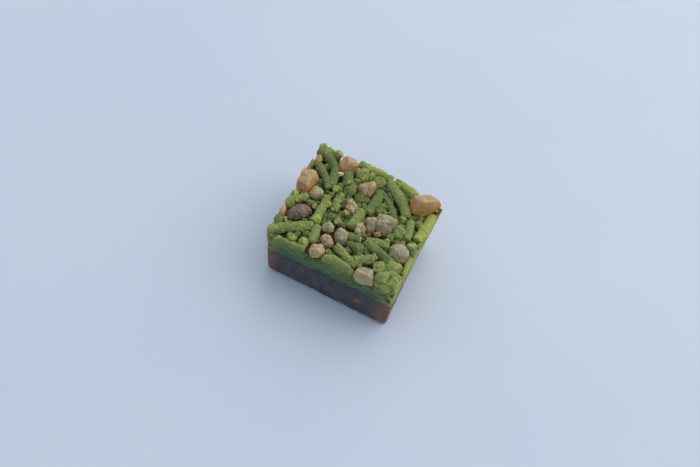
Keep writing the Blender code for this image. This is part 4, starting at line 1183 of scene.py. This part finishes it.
def fill_places(taken):
    """Places for small bits in what room is left."""
    rng = random.Random(SEED)
    found, tries = [], 0
    while len(found) < FILL_BITS and tries < MOST_TRIES:
        tries += 1
        x, y = rng.uniform(*FILL_X), rng.uniform(*FILL_Y)
        width = rng.uniform(*FILL_WIDTHS)
        if not is_clear(np.array([(x, y)]), width / 2 - PRESSED_IN)[0]:
            continue
        near = min(math.dist((x, y), place[:2]) - place[2] for place in taken + found)
        if near > width * NEAREST:
            found.append((x, y, width / 2))
    return found


large_places = bit_places()
taken = [(x, y, width / 2) for x, y, width, _ in large_places]
for *spec, _ in STRANDS.values():
    path = strand_path(*spec)
    if path is not None:
        taken += [(x, y, spec[4] / 2) for x, y, _ in path]
small_places = [(x, y, radius * 2, -FILL_DEPTH) for x, y, radius in fill_places(taken)]
print("bits:", len(large_places), "larger ones from the photograph and", len(small_places), "small ones")

# %% Shape the bits
BIT_STRETCH, BIT_FLATS, BIT_CRUMB = 1.15, 11, 0.10
BLOCK_SWELL = 1.14   # broken flats take this much off a block again
ROD_SHARE, TWO_LOBED_SHARE = 0.45, 0.4
SHADED_SHARE, SMALL_SHADED_SHARE = 0.35, 0.8


def shaded_share(x, y, sunk_share):
    """How likely a bit gets the shaded green, painted shade: often at the back, never at the front right or
    on the back rim.
    """
    if (x > 14.0 and y < -8.0) or y > 17.5:
        return 0.0
    return 0.6 if x < 8.0 and y > 7.0 else sunk_share


def bit_shell(number, x, y, width, lift, detail, sunk_share):
    """One broken bit: a short length of strand, lying or tipped up, or a block with rough flats."""
    rng = random.Random(SEED * 100 + number)
    half = width / 2
    stretch = rng.uniform(0.95, BIT_STRETCH)
    sizes = (half * stretch, half / stretch ** 0.5, half * rng.uniform(0.85, 1.0))
    place = np.array((x, y, float(top_height(x, y) - shelf_drop(x, y)) + lift - sizes[2] * 0.95))
    heading, as_rod = rng.uniform(0, math.tau), rng.random() < ROD_SHARE
    finish = SHADED if rng.random() < shaded_share(x, y, sunk_share) else SKIN
    if as_rod:
        tip = rng.choice((0.0, 0.2, 0.9))
        level = math.cos(tip)
        along = np.array((math.cos(heading) * level, math.sin(heading) * level, math.sin(tip)))
        radius = half * rng.uniform(0.80, 0.92)
        path = place + along * np.linspace(-1.0, 1.0, 9)[:, None] * (half * stretch * 1.12 - radius * 0.25)
        sides = 30 if detail > 4 else 20
        points, faces, finishes = strand_shell(path, radius, 200 + number, sides, 0.22, 1.3, finish)
    else:
        spread = rng.uniform(0.2, 0.35) if rng.random() < TWO_LOBED_SHARE else 0.0
        half_sizes = tuple(size * BLOCK_SWELL for size in sizes)
        points, faces, directions = lump(
            tuple(place), half_sizes, math.degrees(heading), spread, detail, 500 + number, BIT_FLATS, 0.008,
            rng.uniform(-0.4, 0.4), rng.uniform(-0.25, 0.25), 0.06, knobs=rng.choice((0, 2, 3)))
        points = wrinkle(points, directions, (1.6, 0.5, 0.25), (0.16, 0.06, 0.03), 200 + number)
        joint, own = crumbly(points, 0.55, number)
        points += directions * (BIT_CRUMB * (own - 0.4 - 0.5 * (1.0 - joint)))[:, None]
        light = smooth(directions, 0.9, number)
        finishes = [BROKEN if finish == SKIN and light[face[0]] > 0.2 else finish for face in faces]
    return cut_to_block(points, 0.0, knife_marks), faces, finishes


large_bits = [bit_shell(number, *place, 5, SHADED_SHARE) for number, place in enumerate(large_places)]
small_bits = [bit_shell(len(large_places) + number, *place, 4, SMALL_SHADED_SHARE)
              for number, place in enumerate(small_places)]
piece("matcha_bits", large_bits, MATCHA)
piece("matcha_small_bits", small_bits, MATCHA)

# %% [markdown]
# ## The cut sides
#
# Seen from the side the heap is rows of strands that the knife went through or smeared. Rows of
# strands are laid along each side, partly outside the block, and pressed back onto its plane, so
# they show as flat bands with dark joints and torn ends between them.
# %% Lay rows of strands along the four sides
ROWS, ROW_START, ROW_STEP, ROW_TOP_GAP, ROW_MIDDLE = 5, 0.7, 2.15, 2.0, 17.0
SIDE_LENGTHS, SIDE_WIDTHS, SIDE_DEPTHS = (4.0, 11.0), (2.6, 3.3), (0.1, 1.1)
SIDE_END_GAP, SIDE_TILT, SIDE_WOBBLE = 0.4, 0.10, 0.3
DARK_BELOW = 0.25   # torn hollows deeper than this take the deep-shade green, painted shade
side_strands = []
rng = random.Random(SEED + 5)
for side in range(4):
    corners = corners_at(np.array((ROW_MIDDLE,)))[:, 0]
    start, end = corners[side], corners[(side + 1) % 4]
    run = (end - start) / np.linalg.norm(end - start)
    inward = np.array((-run[1], run[0]))
    total = float(np.linalg.norm(end - start))
    for row in range(ROWS):
        travelled = rng.uniform(-3.0, 0.0)
        while travelled < total - 1.0:
            length, width = rng.uniform(*SIDE_LENGTHS), rng.uniform(*SIDE_WIDTHS)
            depth = rng.uniform(*SIDE_DEPTHS)
            last = min(travelled + length, total - SIDE_END_GAP)
            steps = np.arange(max(travelled, SIDE_END_GAP), last, FINE_STEP)
            travelled += length + rng.uniform(-0.3, 0.5)
            if len(steps) < 4:
                continue
            tilt = rng.uniform(-SIDE_TILT, SIDE_TILT)
            wobble = rng.uniform(-SIDE_WOBBLE, SIDE_WOBBLE)
            plan = start + run * steps[:, None] + inward * depth
            height = seam_height(*plan.T) + ROW_START + row * ROW_STEP + wobble
            height = height + tilt * (steps - steps.mean())
            path = np.column_stack((plan, height))
            crest = top_height(*plan.T) - shelf_drop(*plan.T) - ROW_TOP_GAP
            fits = (height < crest) & is_clear(path, width / 2 - 0.3)
            path = path[fits] if fits.sum() > 3 and np.all(np.diff(np.flatnonzero(fits)) == 1) else None
            if path is None:
                continue
            seed = 600 + side * 100 + row * 20 + len(side_strands) % 20
            points, faces, finishes = strand_shell(path, width / 2, seed, 24, 0.32, 1.2)
            torn = torn_depth(points, side) > DARK_BELOW
            finishes = [DEEP_SHADE if torn[face[0]] else finish for face, finish in zip(faces, finishes)]
            low = points[:, 2] < seam_height(points[:, 0], points[:, 1])
            points[low, 2] = seam_height(points[low, 0], points[low, 1])
            points = cut_to_block(points, rng.uniform(0.02, 0.16), knife_marks)
            side_strands.append((points, faces, finishes))
piece("matcha_cut_sides", side_strands, MATCHA)

# %% [markdown]
# ## Crumbs
#
# Dry paste sheds crumbs. They lie in the gaps, along the rims and here and there on a strand.
# Each is dropped from above onto what is already there, so none hangs in the air.
# %% Find the heap's surface and drop lumps on it
def surface_of(shells):
    """A search tree over shells, for finding what lies below a point."""
    points, faces, start = [], [], 0
    for shell_points, shell_faces, _ in shells:
        points += shell_points.tolist()
        faces += [tuple(index + start for index in face) for face in shell_faces]
        start += len(shell_points)
    return BVHTree.FromPolygons(points, faces)


SHADED_FROM, DEEP_FROM = 1.8, 3.4   # how far below the crests a crumb gets painted shade: the shaded green, then the deep-shade green
DROP_X, DROP_Y, DROP_HEIGHT, TRIES_EACH = (-23.2, 22.8), (-19.5, 20.4), 30.0, 40


def drop(count, widths, least_sunk, clear_above, margin, detail, seed, open_share=0.0):
    """Lumps dropped where the heap lies at least so far below the crests, each no taller than the gap."""
    rng = random.Random(seed)
    dropped, tries = [], 0
    while len(dropped) < count and tries < count * TRIES_EACH:
        tries += 1
        x, y = rng.uniform(*DROP_X), rng.uniform(*DROP_Y)
        hit, normal, _, _ = heap.ray_cast(Vector((x, y, DROP_HEIGHT)), Vector((0.0, 0.0, -1.0)))
        if hit is None:
            continue
        sunk = float(top_height(x, y) - shelf_drop(x, y)) - hit.z
        if sunk < least_sunk and rng.random() > open_share:
            continue
        width = rng.uniform(*widths)
        if sunk >= least_sunk:
            width = min(width, (sunk - clear_above) * 1.3)
        if width < widths[0] * 0.8:
            continue
        half = width / 2
        place = hit + normal * half * 0.3
        if not is_clear(np.array([tuple(place)]), half * margin)[0]:
            continue
        shape = (half * rng.uniform(1.0, 1.3), half * rng.uniform(0.7, 1.0), half * rng.uniform(0.6, 0.95))
        points, faces, directions = lump(
            tuple(place), shape, rng.uniform(0, 180), 0.0, detail, seed + len(dropped), 10, 0.01,
            rng.uniform(-0.5, 0.5), rng.uniform(-0.3, 0.3), 0.08)
        points = wrinkle(points, directions, (width * 0.5, width * 0.2), (width * 0.08, width * 0.03),
                         len(dropped))
        finish = SHADED if sunk > SHADED_FROM else rng.choice((SKIN, SKIN, BROKEN))
        finish = DEEP_SHADE if sunk > DEEP_FROM else finish
        dropped.append((cut_to_block(points, 0.05), faces, [finish] * len(faces)))
    return dropped


laid = [matcha_core, *upper_strands, *lower_strands, *large_bits, *small_bits, *side_strands]
print("shells that crumbs can fall on:", len(laid))

# %% Drop bits into the gaps, then crumbs over everything
heap = surface_of(laid)
gap_bits = drop(170, (1.4, 2.8), least_sunk=2.3, clear_above=1.4, margin=0.55, detail=3, seed=5000)
piece("matcha_gap_bits", gap_bits, MATCHA)
heap = surface_of([*laid, *gap_bits])
crumbs = drop(420, (0.35, 0.95), least_sunk=0.9, clear_above=0.2, margin=0.4, detail=2, seed=9000,
              open_share=0.03)
piece("matcha_crumbs", crumbs, MATCHA)

# %% [markdown]
# ## Floor, light and camera
#
# The sweet lies on a plain pale surface, lit by a large soft window behind it on the right. The
# front face gets only what the surface sends back, which is partly why it is so dark; painted shade
# in the finishes does the rest. The camera stands where the photograph was taken, worked out from
# the block's corners.
# %% Floor
floor_material, tree, shader = new_finish("pale floor", {"Roughness": 0.7})
pale = in_patches(tree, colour(190, 198, 208), colour(184, 193, 205), 120.0, 2.0)["Colour"]
feed(tree, shader, {"Base Color": pale})
FLOOR_HALF = 4.0   # metres
bm = bmesh.new()
bmesh.ops.create_grid(bm, x_segments=4, y_segments=4, size=FLOOR_HALF)
floor_mesh = bpy.data.meshes.new("floor")
bm.to_mesh(floor_mesh)
bm.free()
floor_mesh.materials.append(floor_material)
floor = bpy.data.objects.new("floor", floor_mesh)
bpy.context.scene.collection.objects.link(floor)

# %% Light
LIGHTS = {   # place in metres, size, power in watts, colour
    "window": ((0.40, 0.90, 0.85), 2.5, 21.0, (1.0, 0.97, 0.92)),
    "left wall": ((-1.2, 0.1, 0.7), 1.0, 2.0, (1.0, 0.97, 0.94)),
    "right wall": ((1.2, 0.3, 0.8), 1.0, 2.0, (1.0, 0.97, 0.94)),
}
for name, (place, size, power, tint) in LIGHTS.items():
    data = bpy.data.lights.new(name, "AREA")
    data.shape, data.size, data.energy, data.color = "DISK", size, power, tint
    lamp = bpy.data.objects.new(name, data)
    lamp.location = place
    lamp.rotation_mode = "QUATERNION"
    lamp.rotation_quaternion = (-Vector(place)).to_track_quat("-Z", "Y")
    bpy.context.scene.collection.objects.link(lamp)
ROOM_COLOUR, ROOM_STRENGTH = (0.72, 0.82, 0.98, 1.0), 0.73
world = bpy.data.worlds.new("room light")
world.use_nodes = True
background = world.node_tree.nodes["Background"]
feed(world.node_tree, background, {"Color": ROOM_COLOUR, "Strength": ROOM_STRENGTH})
bpy.context.scene.world = world
bpy.context.scene.view_settings.view_transform = "Standard"
bpy.context.scene.view_settings.look = "None"
print("lights:", {name: power for name, (_, _, power, _) in LIGHTS.items()})

# %% Camera
AZIMUTH, ELEVATION, ROLL = (math.radians(angle) for angle in (14.8, 54.0, 13.9))
DISTANCE, AIM_RIGHT, AIM_UP = 336.3, -0.05, -7.7
LAYOUT_OFFSET = Vector((1.17, -0.90, 0.0))
PICTURE_WIDTH, FOCAL_PIXELS, SENSOR = 700, 972.0, 36.0
flat = math.cos(ELEVATION)
away = Vector((math.sin(AZIMUTH) * flat, -math.cos(AZIMUTH) * flat, math.sin(ELEVATION)))
level = (-away).cross(Vector((0, 0, 1))).normalized()
raised = level.cross(-away)
right = level * math.cos(ROLL) + raised * math.sin(ROLL)
up = raised * math.cos(ROLL) - level * math.sin(ROLL)
eye = away * DISTANCE - right * AIM_RIGHT - up * AIM_UP + LAYOUT_OFFSET
camera_data = bpy.data.cameras.new("camera")
camera_data.sensor_width = SENSOR
camera_data.lens = FOCAL_PIXELS * SENSOR / PICTURE_WIDTH
camera_data.clip_start = 0.01
camera = bpy.data.objects.new("camera", camera_data)
placing = Matrix((right, up, away)).transposed().to_4x4()
placing.translation = eye * MM
camera.matrix_world = placing
bpy.context.scene.collection.objects.link(camera)
bpy.context.scene.camera = camera
print("camera", [round(c, 3) for c in placing.translation], "lens", round(camera_data.lens, 1))

# %% [markdown]
# ## Measure and finish
#
# The triangles of all pieces are counted. The dressed block has to stay the size of its
# solids.
# %% Count the triangles
print("triangles in all:", sum(PIECES.values()))
